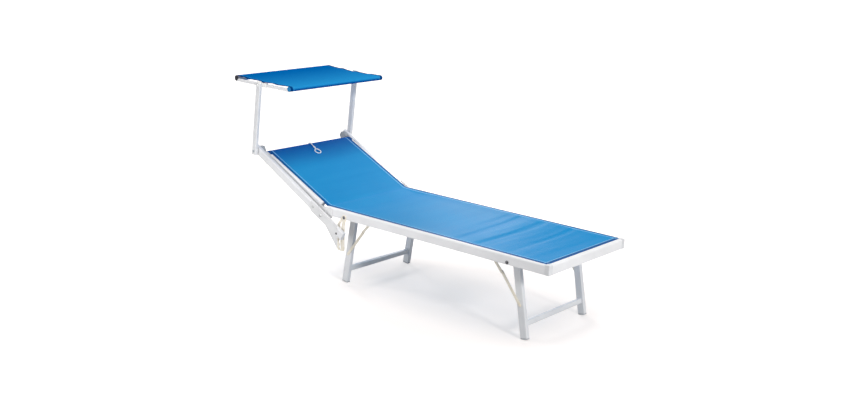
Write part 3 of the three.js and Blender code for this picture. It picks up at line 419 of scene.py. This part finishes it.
def woven(name, colours, tone_ramp, shade_span, half_width, whole, hem, edge, ends, pitch, gloss):
    """Coated mesh cloth: threads both ways from the cloth's own measures, faded clouds, flecks and streaks of
    tone, the hollows of the weave darkened as painted shade, a darker bound edge that is partly painted
    shade, and paler lines where the hems are sewn. Between the two lengths of the tone ramp the start's
    colour passes into the end's, and between the two lengths of the shade span either passes into a colour of
    painted shade. The seam lies hem inwards from the side and the bound edge is edge wide. At the two ends
    both are counted from ends, and the bound edge is broader."""
    hollow_shade_share, cover, edge_blur, end_share = 0.14, 0.9, 0.0015, 0.62
    seam_half, stitch_rise = 0.0024, 1.5
    material, tree, coat = blank(name, **{"Specular IOR Level": gloss})
    split = shader(tree, "SeparateXYZ", {0: shader(tree, "TexCoord").outputs["UV"]})
    along, across = split.outputs[0], split.outputs[1]
    place = object_place(tree)
    clouds = noise(tree, place, 3.2, 5.0, Roughness=0.6)
    worn = worn_share(tree, place, clouds)
    # Tone ramp: between its two lengths the colour runs from the start's to the end's; on the sling this is
    # painted shade of the canopy over the top of the backrest
    ramp_share = ranged(tree, along, *tone_ramp)
    tone = mixed(tree, worn, mixed(tree, ramp_share, colours["start"], colours["end"]),
                 mixed(tree, ramp_share, colours["faded"], colours["end"]))
    # Painted shade: between the two lengths given for it, the tone passes into a darker colour, under the
    # canopy's front sleeve and on the sling towards its foot
    tone = mixed(tree, ranged(tree, along, *shade_span), tone, colours["turned"])
    threads = thread_height(tree, along, across, pitch)
    # Painted shade: the hollows between the threads are darkened towards the bound edge's colour
    hollow_shade = maths(tree, "MULTIPLY", maths(tree, "SUBTRACT", 1.0, threads), hollow_shade_share)
    tone = mixed(tree, hollow_shade, tone, colours["bound_and_shade"])
    side = maths(tree, "ABSOLUTE", across)
    from_end = maths(tree, "MINIMUM", along, maths(tree, "SUBTRACT", whole, along))
    from_side = maths(tree, "SUBTRACT", half_width, side)
    past_end = maths(tree, "MULTIPLY", maths(tree, "SUBTRACT", from_end, ends), end_share)
    inward = maths(tree, "MINIMUM", from_side, past_end)
    # The darker bound edge is the cloth's binding and, on the sling, also painted shade where the cloth runs
    # down into the rails' grooves; it is broader at the ends
    tone = mixed(tree, ranged(tree, inward, edge, edge - edge_blur, cover), tone, colours["bound_and_shade"])
    seam = maths(tree, "MAXIMUM", band(tree, side, half_width - hem, seam_half),
                 band(tree, from_end, ends + hem, seam_half))
    sewn = sewn_line(tree, along, across, seam)
    tone = mixed(tree, maths(tree, "MULTIPLY", sewn, cover), tone, colours["seam"])
    tree.links.new(tone, coat.inputs["Base Color"])
    tree.links.new(spread(tree, clouds, 0.5, 0.62), coat.inputs["Roughness"])
    raised = maths(tree, "ADD", threads, maths(tree, "MULTIPLY", sewn, stitch_rise))
    raise_surface(tree, coat, raised, 0.35, 0.0003)
    return material


def braided(name, colour, shade):
    """Braided cord: two sets of slanting strands crossing on its own length and turn, with the hollows
    between the strands painted darker as painted shade.
    """
    material, tree, coat = blank(name, Roughness=0.75, **{"Sheen Weight": 0.2})
    split = shader(tree, "SeparateXYZ", {0: shader(tree, "TexCoord").outputs["UV"]})
    lay_length = 0.006
    along = maths(tree, "MULTIPLY", split.outputs[0], 2 * np.pi / lay_length)
    turn = maths(tree, "MULTIPLY", split.outputs[1], 4 * np.pi)
    right = maths(tree, "SINE", maths(tree, "ADD", along, turn))
    left = maths(tree, "SINE", maths(tree, "SUBTRACT", along, turn))
    height = maths(tree, "MULTIPLY_ADD", maths(tree, "MULTIPLY", right, left), 0.5, 0.5)
    # Painted shade: the low places of the braid take the darker colour
    tree.links.new(tint(tree, height, shade, colour, 0.2, 0.7), coat.inputs["Base Color"])
    raise_surface(tree, coat, height, 0.6, 0.0006)
    return material


# Metals: colour, shade, roughness, share of bare metal, radius of the edges
silver_rail = coated_metal("silver_rail", linear(240, 240, 242), linear(233, 233, 235), 0.4, 0.1, 0.0009)
silver_tube = coated_metal("silver_tube", linear(232, 233, 235), linear(222, 223, 226), 0.42, 0.12, 0.0015)
sleeve_tube = coated_metal("sleeve_tube", linear(205, 207, 209), linear(192, 194, 197), 0.42, 0.2, 0.001)
plate_metal = coated_metal("plate_metal", linear(230, 230, 231), linear(219, 219, 221), 0.45, 0.1, 0.0006)
lever_metal = coated_metal("lever_metal", linear(230, 230, 231), linear(219, 219, 221), 0.45, 0.1, 0.0006,
                           pin_from=0.3314)
dark_bolt = plated("dark_bolt", linear(122, 122, 125), linear(84, 85, 88))
bright_zinc = plated("bright_zinc", linear(214, 214, 214), linear(182, 183, 184))

# Plastics: colour, shade, roughness, fineness of the grain
nylon = moulded("cream_nylon", linear(247, 241, 229), linear(236, 227, 209), 0.5, 700.0)
knob_plastic = moulded("knob_plastic", linear(176, 182, 188), linear(156, 162, 168), 0.45, 900.0)
foot_plastic = moulded("foot_plastic", linear(204, 206, 208), linear(190, 192, 195), 0.5, 900.0)
black_plastic = moulded("black_plastic", linear(34, 36, 48), linear(24, 26, 36), 0.5, 900.0)
grey_plastic = moulded("grey_plastic", linear(228, 229, 231), linear(216, 217, 220), 0.5, 800.0)
white_plastic = moulded("white_plastic", linear(253, 253, 252), linear(246, 246, 244), 0.4, 800.0)

# Cloths: the sling is measured from its foot, the canopy from its rear sleeve. Each whole length is set past
# the real end, where no seam shows
# Sling: its end colour, a deep blue at the head, is painted shade where the canopy shades the top of the
# backrest; its painted shade colour, a deeper blue towards the foot, stands in for less sheen there
sling_cloth = woven(
    "sling_cloth",
    {"start": linear(34, 150, 210), "end": linear(0, 86, 172), "faded": linear(14, 136, 202),
     "bound_and_shade": linear(0, 70, 134), "seam": linear(150, 205, 240), "turned": linear(0, 142, 206)},
    tone_ramp=(1.64, 1.82), shade_span=(0.62, 0.06), half_width=GROOVE_HALF, whole=1.9,
    hem=0.0175, edge=0.0100, ends=0.0052, pitch=0.0016, gloss=0.06)
# Canopy: darker at the rear sleeve and lighter towards the front; its painted shade colour is painted shade
# on the underside of the front sleeve
canopy_cloth = woven(
    "canopy_cloth",
    {"start": linear(0, 106, 184), "end": linear(38, 152, 218), "faded": linear(0, 101, 178),
     "bound_and_shade": linear(0, 58, 124), "seam": linear(60, 150, 205), "turned": linear(0, 88, 166)},
    tone_ramp=(0.10, 0.47), shade_span=(0.474, 0.484), half_width=CANOPY_HALF, whole=0.56,
    hem=0.022, edge=0.016, ends=-0.02, pitch=0.0014, gloss=0.0)
cord_braid = braided("cord_braid", linear(252, 252, 250), linear(218, 218, 213))


# Cloth of seat and backrest

# Stretch marks: place along the cloth from the foot, width, steepness, slant toward the far side, strength at
# the near and at the far edge
STRETCH_MARKS = (
    (0.100, 0.016, -0.030, -0.010, 0.6, 1.0),
    (0.150, 0.018, 0.045, 0.012, 1.0, 0.7),
    (0.225, 0.013, 0.150, 0.008, 1.0, 0.7),
    (0.252, 0.010, -0.190, 0.003, 0.3, 1.3),
    (0.294, 0.015, -0.050, 0.004, 0.6, 1.2),
    (0.312, 0.008, -0.060, 0.002, 0.0, 1.2),
    (0.357, 0.013, 0.060, -0.004, 1.3, 0.2),
    (0.388, 0.012, 0.120, -0.004, 0.6, 1.2),
    (0.421, 0.012, -0.200, 0.001, 1.0, 1.05),
    (0.499, 0.030, 0.085, 0.002, 1.1, 1.0),
    (0.547, 0.010, -0.150, 0.008, 1.1, 1.2),
    (0.609, 0.013, -0.085, 0.000, 0.6, 1.1),
    (0.660, 0.022, 0.040, 0.004, 0.7, 1.0),
    (1.134, 0.030, 0.080, 0.012, 1.0, 0.8),
    (1.249, 0.038, -0.085, 0.050, 0.8, 1.0),
)


def arc_points(centre, radius, start, end, count):
    """Points of an arc in the lounger's side view, angles in degrees from the foot side upwards."""
    turn = np.radians(np.linspace(start, end, count))
    return np.stack([centre[0] + radius * np.cos(turn), centre[1] + radius * np.sin(turn)], -1)


def sling_side_view():
    """Side view of the sling: out of the groove of the foot rail, along the seat, a soft turn at the bend,
    up the backrest and round the head bar. Returns its places, evenly spaced and closer at both ends, and
    the length along it at each."""
    under_rails = 0.0002
    foot, groove_floor, groove_mouth = 1.3193, 0.3858, 0.3885
    lip_radius, bend_radius = 0.0015, 0.055
    fine_at_foot, fine_at_head = 0.02, 0.055
    top = SEAT_TOP - under_rails
    slope_degrees = np.degrees(SLOPE)
    lip = arc_points((foot - lip_radius, top - lip_radius), lip_radius, 0, 90, 6)
    bend_centre = (bend_radius * np.tan(SLOPE / 2), top + bend_radius)
    bend = arc_points(bend_centre, bend_radius, 270, 270 - slope_degrees, 20)
    uphill = np.array([-np.cos(SLOPE), np.sin(SLOPE)])
    outward = np.array([np.sin(SLOPE), np.cos(SLOPE)])
    bar = np.array([0.0, SEAT_TOP]) + BAR_ALONG * uphill - BAR_BELOW * outward
    wrap_start = 90 - slope_degrees
    wrap = arc_points(bar, BAR_WRAP, wrap_start, wrap_start + BAR_WRAP_DEGREES, 40)
    corners = np.vstack([[[foot, groove_floor], [foot, groove_mouth]], lip, bend, wrap])
    steps = np.linalg.norm(np.diff(corners, axis=0), axis=1)
    length = np.concatenate([[0.0], np.cumsum(steps)])
    even = np.linspace(0.0, length[-1], SLING_ROWS)
    at_ends = length[(length < fine_at_foot) | (length > length[-1] - fine_at_head)]
    even = np.unique(np.concatenate([even, at_ends]))
    places = np.stack([np.interp(even, length, corners[:, 0]), np.interp(even, length, corners[:, 1])], -1)
    return places, even


def stretch_marks(s, e):
    """Height of the stretch marks. Each is a band across the cloth that climbs or falls towards the foot: a
    bell curve of the length, with one strength at the near edge and one at the far edge. Their slopes are
    added up from the foot, and what is left is taken back smoothly on the way to the head."""
    slope = 0.0 * (s + e)
    far_share = (np.clip(e, -1.0, 1.0) + 1.0) / 2
    for place, width, steepness, slant, near, far in STRETCH_MARKS:
        waver = 0.0025 * np.sin(3.1 * e + 40.0 * place)
        bell = np.exp(-((s - place - slant * e - waver) / width) ** 2)
        slope = slope - steepness * (near + (far - near) * far_share) * bell
    climb = np.cumsum((slope[1:] + slope[:-1]) / 2 * np.diff(s, axis=0), axis=0)
    height = np.vstack([0.0 * climb[:1], climb])
    return height - height[-1:] * smooth_step(s, 0.1, 1.3)


def sling_relief(s, e):
    """Height of the sling over its side view: a shallow sag across seat and backrest, the stretch marks with
    a fine ripple, a slow swell, and the doubled hem. s is the length along, e the share of the half width."""
    seat_sag, back_sag, sunk = 0.0055, 0.003, 0.0022
    ripple_rise, ripple_length, ripple_place, ripple_reach = 0.00025, 0.052, 0.3, 0.3
    swell_rise, swell_length = 0.0008, 0.41
    hem_rise, hem_full, hem_end = 0.0004, 0.0150, 0.0172
    whole = s[-1, 0]
    inside = np.clip(1 - np.abs(e), 0.0, 1.0)
    bow = 1 - (1 - inside) ** 2
    seat = smooth_step(s, 0.01, 0.10) * (1 - smooth_step(s, whole - 0.66, whole - 0.56))
    back = smooth_step(s, whole - 0.50, whole - 0.40) * (1 - smooth_step(s, whole - 0.16, whole - 0.06))
    sag = bow * (seat_sag * seat + back_sag * back) + sunk * smooth_step(inside, 0.0, 0.3) * seat
    ripple = ripple_rise * np.sin(2 * np.pi * s / ripple_length + 2.0 * np.sin(3.0 * e))
    ripple = ripple * np.exp(-((s - ripple_place) / ripple_reach) ** 2)
    folds = (stretch_marks(s, e) + ripple) * smooth_step(inside, 0.0, 0.16)
    swell = swell_rise * np.sin(2 * np.pi * s / swell_length + 1.3 * e) * bow * seat
    hem = hem_rise * (1 - smooth_step(inside * GROOVE_HALF, hem_full, hem_end)) * (np.abs(e) <= 1.0)
    return folds + swell + hem - sag


def sling():
    """One sheet from foot to head: the side view carried from edge to edge and raised by the relief. It is
    narrower in the foot rail and broader past the backrest's rails. Between these its edges turn down into
    the grooves."""
    places, length = sling_side_view()
    step = np.gradient(places, axis=0)
    step /= np.linalg.norm(step, axis=1, keepdims=True)
    normal = np.stack([step[:, 1], np.zeros(len(step)), -step[:, 0]], -1)[:, None]
    turned_down = np.array([0.0006, 0.0015, 0.003, 0.0045]) / GROOVE_HALF
    between = np.sin(np.linspace(-np.pi / 2, np.pi / 2, 75))
    s = length[:, None]
    e = np.concatenate([-1 - turned_down[::-1], between, 1 + turned_down])[None, :]
    foot_lip, rails_end, change = 1.3146, 0.4553, 0.0004
    into_groove, narrower, broader = 0.0001, 0.0118, 0.0112
    past_edge, level_edge = 0.0006, 0.0004
    foot = length[np.searchsorted(-places[:, 0], -foot_lip)]
    head = length[-1] - BAR_WRAP * np.radians(BAR_WRAP_DEGREES) - BAR_ALONG + rails_end
    narrow = 1 - smooth_step(s, foot - change, foot + change)
    broad = smooth_step(s, head - change, head + 1.5 * change)
    half = GROOVE_HALF + into_groove - narrower * narrow + broader * broad
    over = np.maximum(np.abs(e) - 1.0, 0.0) * GROOVE_HALF
    y = np.sign(e) * (np.minimum(np.abs(e), 1.0) * half + np.minimum(over, past_edge))
    drop = np.maximum(over - level_edge, 0.0) * (1 - narrow) * (1 - broad)
    points = lay(places[:, :1], y, places[:, 1:]) + normal * (sling_relief(s, e) - drop)[..., None]
    uv = np.stack(np.broadcast_arrays(s, y), -1)
    piece = grid_mesh("sling_sheet", points, sling_cloth, uv=uv)
    thicken(piece, SLING_THICKNESS)
    return piece, length[-1]


# Canopy

def tube_sleeve(spot, radius, share, sweep):
    """Cloth round a cross tube, in the side view: a share of a sweep in degrees, counted from the top."""
    turn = np.radians(90 + share * sweep)
    return spot[0] + radius * np.cos(turn), spot[1] + radius * np.sin(turn)


def canopy_panel(share, across):
    """Cloth between the cross tubes: the straight line over both, less a shallow sag and two sunk seams, with
    slow creases and a doubled hem. The side edges hang a little, ripple and are drawn in. Returns places
    along, across and up."""
    sag_depth, edge_sag, edge_reach, drawn_depth = 0.0048, 0.0012, 0.035, 0.0035
    rear_seam, front_seam, seam_width, seam_depth = -0.612, -0.260, 0.0022, 0.0006
    hem_from, hem_to, hem_rise = 0.3135, 0.3145, 0.0005
    long_ripple, short_ripple, crease_rise = 0.0020, 0.0008, 0.0007
    bell = 4 * share * (1 - share)
    at_edge = np.exp(-(CANOPY_HALF - np.abs(across)) / edge_reach) * bell
    sag = sag_depth * bell * (1 - 0.25 * (across / CANOPY_HALF) ** 2)
    ripple = (long_ripple * np.sin(2 * np.pi * 3.4 * share + 0.9 * np.sign(across) + 0.7)
              + short_ripple * np.sin(2 * np.pi * 7.3 * share + 1.1))
    creases = crease_rise * np.sin(27.9 * across + 4.0 * share) * np.sin(np.pi * share)
    hem = hem_rise * smooth_step(np.abs(across), hem_from, hem_to)
    x = REAR_TUBE[0] + (FRONT_TUBE[0] - REAR_TUBE[0]) * share + 0 * across
    seams = np.exp(-((x - rear_seam) / seam_width) ** 2) + np.exp(-((x - front_seam) / seam_width) ** 2)
    rear_top, front_top = REAR_TUBE[1] + REAR_SLEEVE, FRONT_TUBE[1] + FRONT_SLEEVE
    z = (rear_top + (front_top - rear_top) * share - sag + (ripple - edge_sag) * at_edge
         + creases + hem - seam_depth * seams)
    drawn_in = drawn_depth * at_edge * (0.6 + 0.4 * np.sin(4 * np.pi * share + 1.0))
    return x, across - np.sign(across) * drawn_in, z


def canopy_sheet():
    """One sheet: sleeve round the rear tube, panel, sleeve round the front tube. At the side tubes the
    sleeves stay open below so that these pass."""
    side = np.concatenate([np.linspace(0.312, 0.3255, 14), [0.3272, CANOPY_HALF]])
    across = np.concatenate([-side[::-1], np.linspace(-0.306, 0.306, 70), side])[None, :]
    opened = smooth_step(np.abs(across), 0.3150, 0.3163)
    down = np.linspace(0.0, 1.0, 40)[:, None]
    rear_x, rear_z = tube_sleeve(REAR_TUBE, REAR_SLEEVE, down[::-1], 240 - 70 * opened)
    front_x, front_z = tube_sleeve(FRONT_TUBE, FRONT_SLEEVE, down, 72 * opened - 240)
    x, y, z = canopy_panel(np.linspace(0.0, 1.0, 82)[1:-1, None], across)
    x = np.vstack([rear_x, x, front_x])
    y = np.vstack([across + 0 * rear_x, y, across + 0 * front_x])
    z = np.vstack([rear_z, z, front_z])
    middle = x.shape[1] // 2
    steps = np.hypot(np.diff(x[:, middle]), np.diff(z[:, middle]))
    along = np.concatenate([[0.0], np.cumsum(steps)])
    uv = np.stack(np.broadcast_arrays(along[:, None], across), -1)
    piece = grid_mesh("canopy_sheet", lay(x, y, z), canopy_cloth, uv=uv)
    thicken(piece, CANOPY_THICKNESS)
    return piece, along[-1]


# Cord, ring and small fittings

def cord_route():
    """Centre line of the pull cord: along the backrest, across it, above its rails, in metres."""
    route = np.array([
        [0.4885, 0.0050, -0.0286], [0.4944, 0.0050, -0.0200], [0.4951, 0.0050, -0.0115],
        [0.4924, 0.0050, -0.0038], [0.4857, 0.0048, 0.0022], [0.4770, 0.0039, 0.0036],
        [0.4680, 0.0019, 0.0039], [0.4595, -0.0007, 0.0044], [0.4520, -0.0028, 0.0050],
        [0.4460, -0.0038, 0.00525], [0.4405, -0.0040, 0.0053]])
    return up_slope(route[:, 0], route[:, 1], route[:, 2])


def pull_ring():
    """Ring lying on the backrest, with a neck that the crimp holds: a slightly tilted torus, and a straight
    tube from it up into the crimp."""
    tilt = np.radians(4.5)
    wire, reach = 0.0024, 0.0168
    ring_along, ring_above = 0.411, 0.0019
    turn = np.linspace(0, 2 * np.pi, 96, endpoint=False)[:, None]
    round_wire = np.linspace(0, 2 * np.pi, 24, endpoint=False)[None, :]
    flat = (reach + wire * np.cos(round_wire)) * np.cos(turn)
    side = (reach + wire * np.cos(round_wire)) * np.sin(turn)
    rise = wire * np.sin(round_wire) + 0 * turn
    along = ring_along + flat * np.cos(tilt) - rise * np.sin(tilt)
    above = ring_above + flat * np.sin(tilt) + rise * np.cos(tilt)
    points = up_slope(along, CORD_ASIDE + side, above)
    hoop = grid_mesh("hoop", points, white_plastic, wrap_rows=True, wrap_columns=True)
    merge_points(hoop)
    start = up_slope(0.4275, CORD_ASIDE, 0.0033)
    end = up_slope(0.4390, CORD_ASIDE, CORD_ABOVE)
    neck = tube_mesh("neck", np.linspace(start, end, 6), 0.0022, 24, white_plastic)
    return joined("pull_ring_smooth", [hoop, neck])


def crimp_sleeve():
    """Sleeve pressed round the cord and the ring's neck: an open tube with two pressed waists."""
    head, length, outer, bore = 0.4461, 0.0110, 0.0043, 0.0031
    share = np.linspace(0, 1, 40)
    waists = np.exp(-((share - 0.3) / 0.07) ** 2) + np.exp(-((share - 0.7) / 0.07) ** 2)
    pressed = outer - 0.0006 * waists
    radius = np.concatenate([pressed, [bore, bore, pressed[0]]])[:, None]
    along = head - length * np.concatenate([share, [1.0, 0.0, 0.0]])[:, None]
    turn = np.linspace(0, 2 * np.pi, 32, endpoint=False)[None, :]
    across = CORD_ASIDE + radius * np.cos(turn)
    above = CORD_ABOVE + radius * np.sin(turn)
    points = up_slope(along + 0 * turn, across, above)
    piece = grid_mesh("crimp_sleeve", points, white_plastic, wrap_columns=True)
    merge_points(piece)
    return piece


def rounded_block(name, centre, size, edge, material, slope, pivot):
    """Block with rounded edges: a globe of points pushed apart by the block's half sizes, then tilted about
    a pivot in the side view."""
    theta = np.linspace(-np.pi / 2, np.pi / 2, 13)[:, None]
    phi = np.linspace(0, 2 * np.pi, 32, endpoint=False)[None, :] + np.pi / 32
    globe = [np.cos(theta) * np.cos(phi), np.cos(theta) * np.sin(phi), np.sin(theta)]
    ball = np.stack(np.broadcast_arrays(*globe), -1)
    half = np.array(size) / 2 - edge
    points = np.array(centre) + edge * ball + np.sign(ball) * half * (np.abs(ball) > 1e-9)
    x, z = points[..., 0] - pivot[0], points[..., 2] - pivot[1]
    tilted_x = pivot[0] + x * np.cos(slope) + z * np.sin(slope)
    tilted_z = pivot[1] - x * np.sin(slope) + z * np.cos(slope)
    piece = grid_mesh(name, lay(tilted_x, points[..., 1], tilted_z), material, wrap_columns=True)
    merge_points(piece)
    return piece


def arm_plugs():
    """Moulded plugs in the open ends of both arms, head end and tail."""
    arm_slope = np.radians(28.15)
    hinge, below, aside = (-0.008, 0.3465), 0.0019, 0.318
    size, edge = (0.003, 0.0192, 0.0392), 0.0014
    pieces = []
    for side in (-1, 1):
        for along in (-0.5585, 0.1665):
            centre = (hinge[0] + along, side * aside, hinge[1] - below)
            pieces.append(rounded_block("plug", centre, size, edge, grey_plastic, arm_slope, hinge))
    return joined("arm_plugs", pieces)


def tube_ends(name, spot, radius, material):
    """Domed plugs in both ends of a cross tube of the canopy: pairs of radius and place across, turned."""
    stem = radius - 0.003
    profile = [(0.0, 0.3246), (stem, 0.3246), (stem, 0.3283), (radius, 0.3286), (radius, 0.3296),
               (0.86 * radius, 0.3306), (0.5 * radius, 0.3311), (0.0, 0.3312)]
    pieces = []
    for side in (-1, 1):
        pieces.append(turned_mesh("end", spot, [(r, side * y) for r, y in profile], 32, material))
    return joined(name, pieces)


# Dressing

def dress(names, material):
    """Puts one finish on carried-over nodes."""
    for name in names:
        piece = nodes[name]
        piece.data.materials.clear()
        piece.data.materials.append(material)


def both(*names):
    """Left and right node names."""
    return [f"{name}_{side}" for name in names for side in ("left", "right")]


photo_camera()

cord_path = spline(cord_route(), 10)
cord = tube_mesh("pull_cord_braid", cord_path, CORD_RADIUS, 20, cord_braid)
ring = pull_ring()
crimp = crimp_sleeve()
for piece, node in ((cord, "pull_cord"), (ring, "pull_ring"), (crimp, "cord_crimp")):
    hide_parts(node)
    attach(piece, "backrest")

sling_piece, sling_length = sling()
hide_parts("seat_cloth", "back_cloth")
tuple(map(float, lay(0.005, 0.0, 0.3903)))
tuple(map(float, up_slope(0.031, 0.0, 0.0)))
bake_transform(sling_piece)

canopy_piece, canopy_length = canopy_sheet()
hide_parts("canopy_cloth")
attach(canopy_piece, "canopy")

plugs = arm_plugs()
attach(plugs, "backrest")
rear_ends = tube_ends("rear_tube_ends", REAR_TUBE, REAR_PLUG, black_plastic)
front_ends = tube_ends("front_tube_ends", FRONT_TUBE, FRONT_PLUG, canopy_cloth)
for piece in (rear_ends, front_ends):
    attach(piece, "canopy")

dress(both("seat_rail", "back_rail", "canopy_side_tube", "arm") + ["foot_rail"], silver_rail)
dress(both("post") + ["head_bar", "front_leg_frame", "rear_leg_frame"], silver_tube)
dress(["canopy_rear_tube", "canopy_front_tube"], sleeve_tube)
dress(both("hinge_plate"), plate_metal)
dress(both("lever_plate"), lever_metal)
dress(both("front_leg_bolt", "rear_leg_bolt"), dark_bolt)
dress(both("hinge_bolt", "spacer_rivet"), bright_zinc)
dress(both("front_stay_lower", "front_stay_upper", "rear_stay_lower", "rear_stay_upper"), nylon)
dress(both("notched_strap"), nylon)
dress(both("foot_corner", "back_end_block"), grey_plastic)
dress(both("front_foot", "rear_foot"), foot_plastic)
dress(both("post_knob"), knob_plastic)
dress(both("post_cap", "canopy_clamp"), white_plastic)


# Floor and light

WHITE = (1.0, 1.0, 1.0, 1.0)

# Sun lamps: where the light comes from, width of the sun in degrees, strength
SUNS = {
    "overhead": ((0.30, 0.02, 1.0), 30.0, 0.74),
    "foot_near": ((0.86, -0.22, 0.43), 10.0, 1.25),
    "head_far": ((-0.78, 0.38, 0.46), 9.0, 0.60),
    "head_near": ((-0.80, -0.36, 0.46), 9.0, 0.50),
}

# Square lamps: place, where the light comes from, side of the square, power
SQUARES = {
    "near_side": ((-0.25, -1.60, 0.45), (-0.2, -1.0, 0.04), 0.7, 5.4),
    "behind_seat": ((-0.46, 1.52, 0.92), (-0.59, 0.76, 0.27), 0.6, 8.6),
    "foot_low": ((2.55, -0.52, 0.90), (0.86, -0.28, 0.43), 0.36, 3.6),
}


def pale_floor():
    """Wide white floor: part of its white is its own for the camera, so that it is as white as the
    photograph's ground wherever it is lit. It keeps the soft shadow under the seat, and further out, past an
    oval round the four feet, its own white grows."""
    lighting, shown = (0.58, 0.58, 0.58, 1.0), (0.575, 0.523, 0.497, 1.0)
    near_feet, open_floor = {"From Min": 0.85, "To Min": 0.52}, {"From Max": 1.35, "To Max": 0.82}
    reach, below = 40.0, -0.0006
    material, tree, coat = blank("pale_floor", Roughness=0.95,
                                 **{"Specular IOR Level": 0.0, "Emission Color": WHITE})
    path = shader(tree, "LightPath")
    seen = maths(tree, "MAXIMUM", path.outputs["Is Camera Ray"], path.outputs["Is Transmission Ray"])
    tree.links.new(mixed(tree, seen, lighting, shown), coat.inputs["Base Color"])
    oval = shader(tree, "Mapping", {"Vector": object_place(tree), "Location": (-0.44, 0.0, 0.0),
                                    "Scale": (1.35, 1.75, 1.0)})
    away = shader(tree, "VectorMath", {0: oval.outputs[0]}, operation="LENGTH").outputs["Value"]
    # Painted light: past the oval the floor glows more for the camera, washing out the shadows that would
    # fall there
    white_glow = shader(tree, "MapRange", {"Value": away, **near_feet, **open_floor},
                       interpolation_type="SMOOTHSTEP")
    tree.links.new(maths(tree, "MULTIPLY", seen, white_glow.outputs[0]), coat.inputs["Emission Strength"])
    side = np.linspace(-reach, reach, 5)
    x, y = np.meshgrid(side, side, indexing="ij")
    floor = grid_mesh("floor", np.stack([x, y, np.full(x.shape, below)], -1), material)
    merge_points(floor)


def placed_lamp(name, kind, place, toward):
    """Lamp at a place whose light comes from a direction. Its own right is square to that direction and to
    the cross axis, or to the upright one where the light comes from the side."""
    across, upright = [0.0, 1.0, 0.0], [0.0, 0.0, 1.0]
    data = bpy.data.lights.new(name, kind)
    lamp = bpy.data.objects.new(name, data)
    lamp.visible_camera = False
    back = np.array(toward, dtype=float)
    back /= np.linalg.norm(back)
    right = np.cross(across if abs(back[1]) < 0.9 else upright, back)
    right /= np.linalg.norm(right)
    set_pose(lamp, right, np.cross(back, right), back, place)
    return data


def studio_light():
    """White surroundings that light evenly, a broad soft sun from above, low suns from the foot and the head
    that draw the shadows of the legs inwards, and three square lamps: beside the lounger on the near side,
    behind the seat on the far side, and low past the foot."""
    world = bpy.data.worlds.new("white_studio")
    bpy.context.scene.world = world
    world.use_nodes = True
    tree = world.node_tree
    tree.nodes.clear()
    path = shader(tree, "LightPath")
    seen = maths(tree, "MAXIMUM", path.outputs["Is Camera Ray"], path.outputs["Is Glossy Ray"])
    seen = maths(tree, "MAXIMUM", seen, path.outputs["Is Transmission Ray"])
    light = shader(tree, "Background", {"Color": WHITE, "Strength": 0.36})
    white = shader(tree, "Background", {"Color": WHITE, "Strength": 1.0})
    blended = shader(tree, "MixShader", {0: seen, 1: light.outputs[0], 2: white.outputs[0]})
    output = shader(tree, "OutputWorld")
    tree.links.new(blended.outputs[0], output.inputs["Surface"])
    for name, (toward, width, strength) in SUNS.items():
        lamp = placed_lamp(name, "SUN", (0.0, 0.0, 0.0), toward)
        lamp.angle = np.radians(width)
        lamp.energy = strength
    for name, (place, toward, width, power) in SQUARES.items():
        lamp = placed_lamp(name, "AREA", lay(*place), toward)
        lamp.size = width
        lamp.energy = power


pale_floor()
studio_light()
bpy.context.scene.view_settings.view_transform = "Standard"
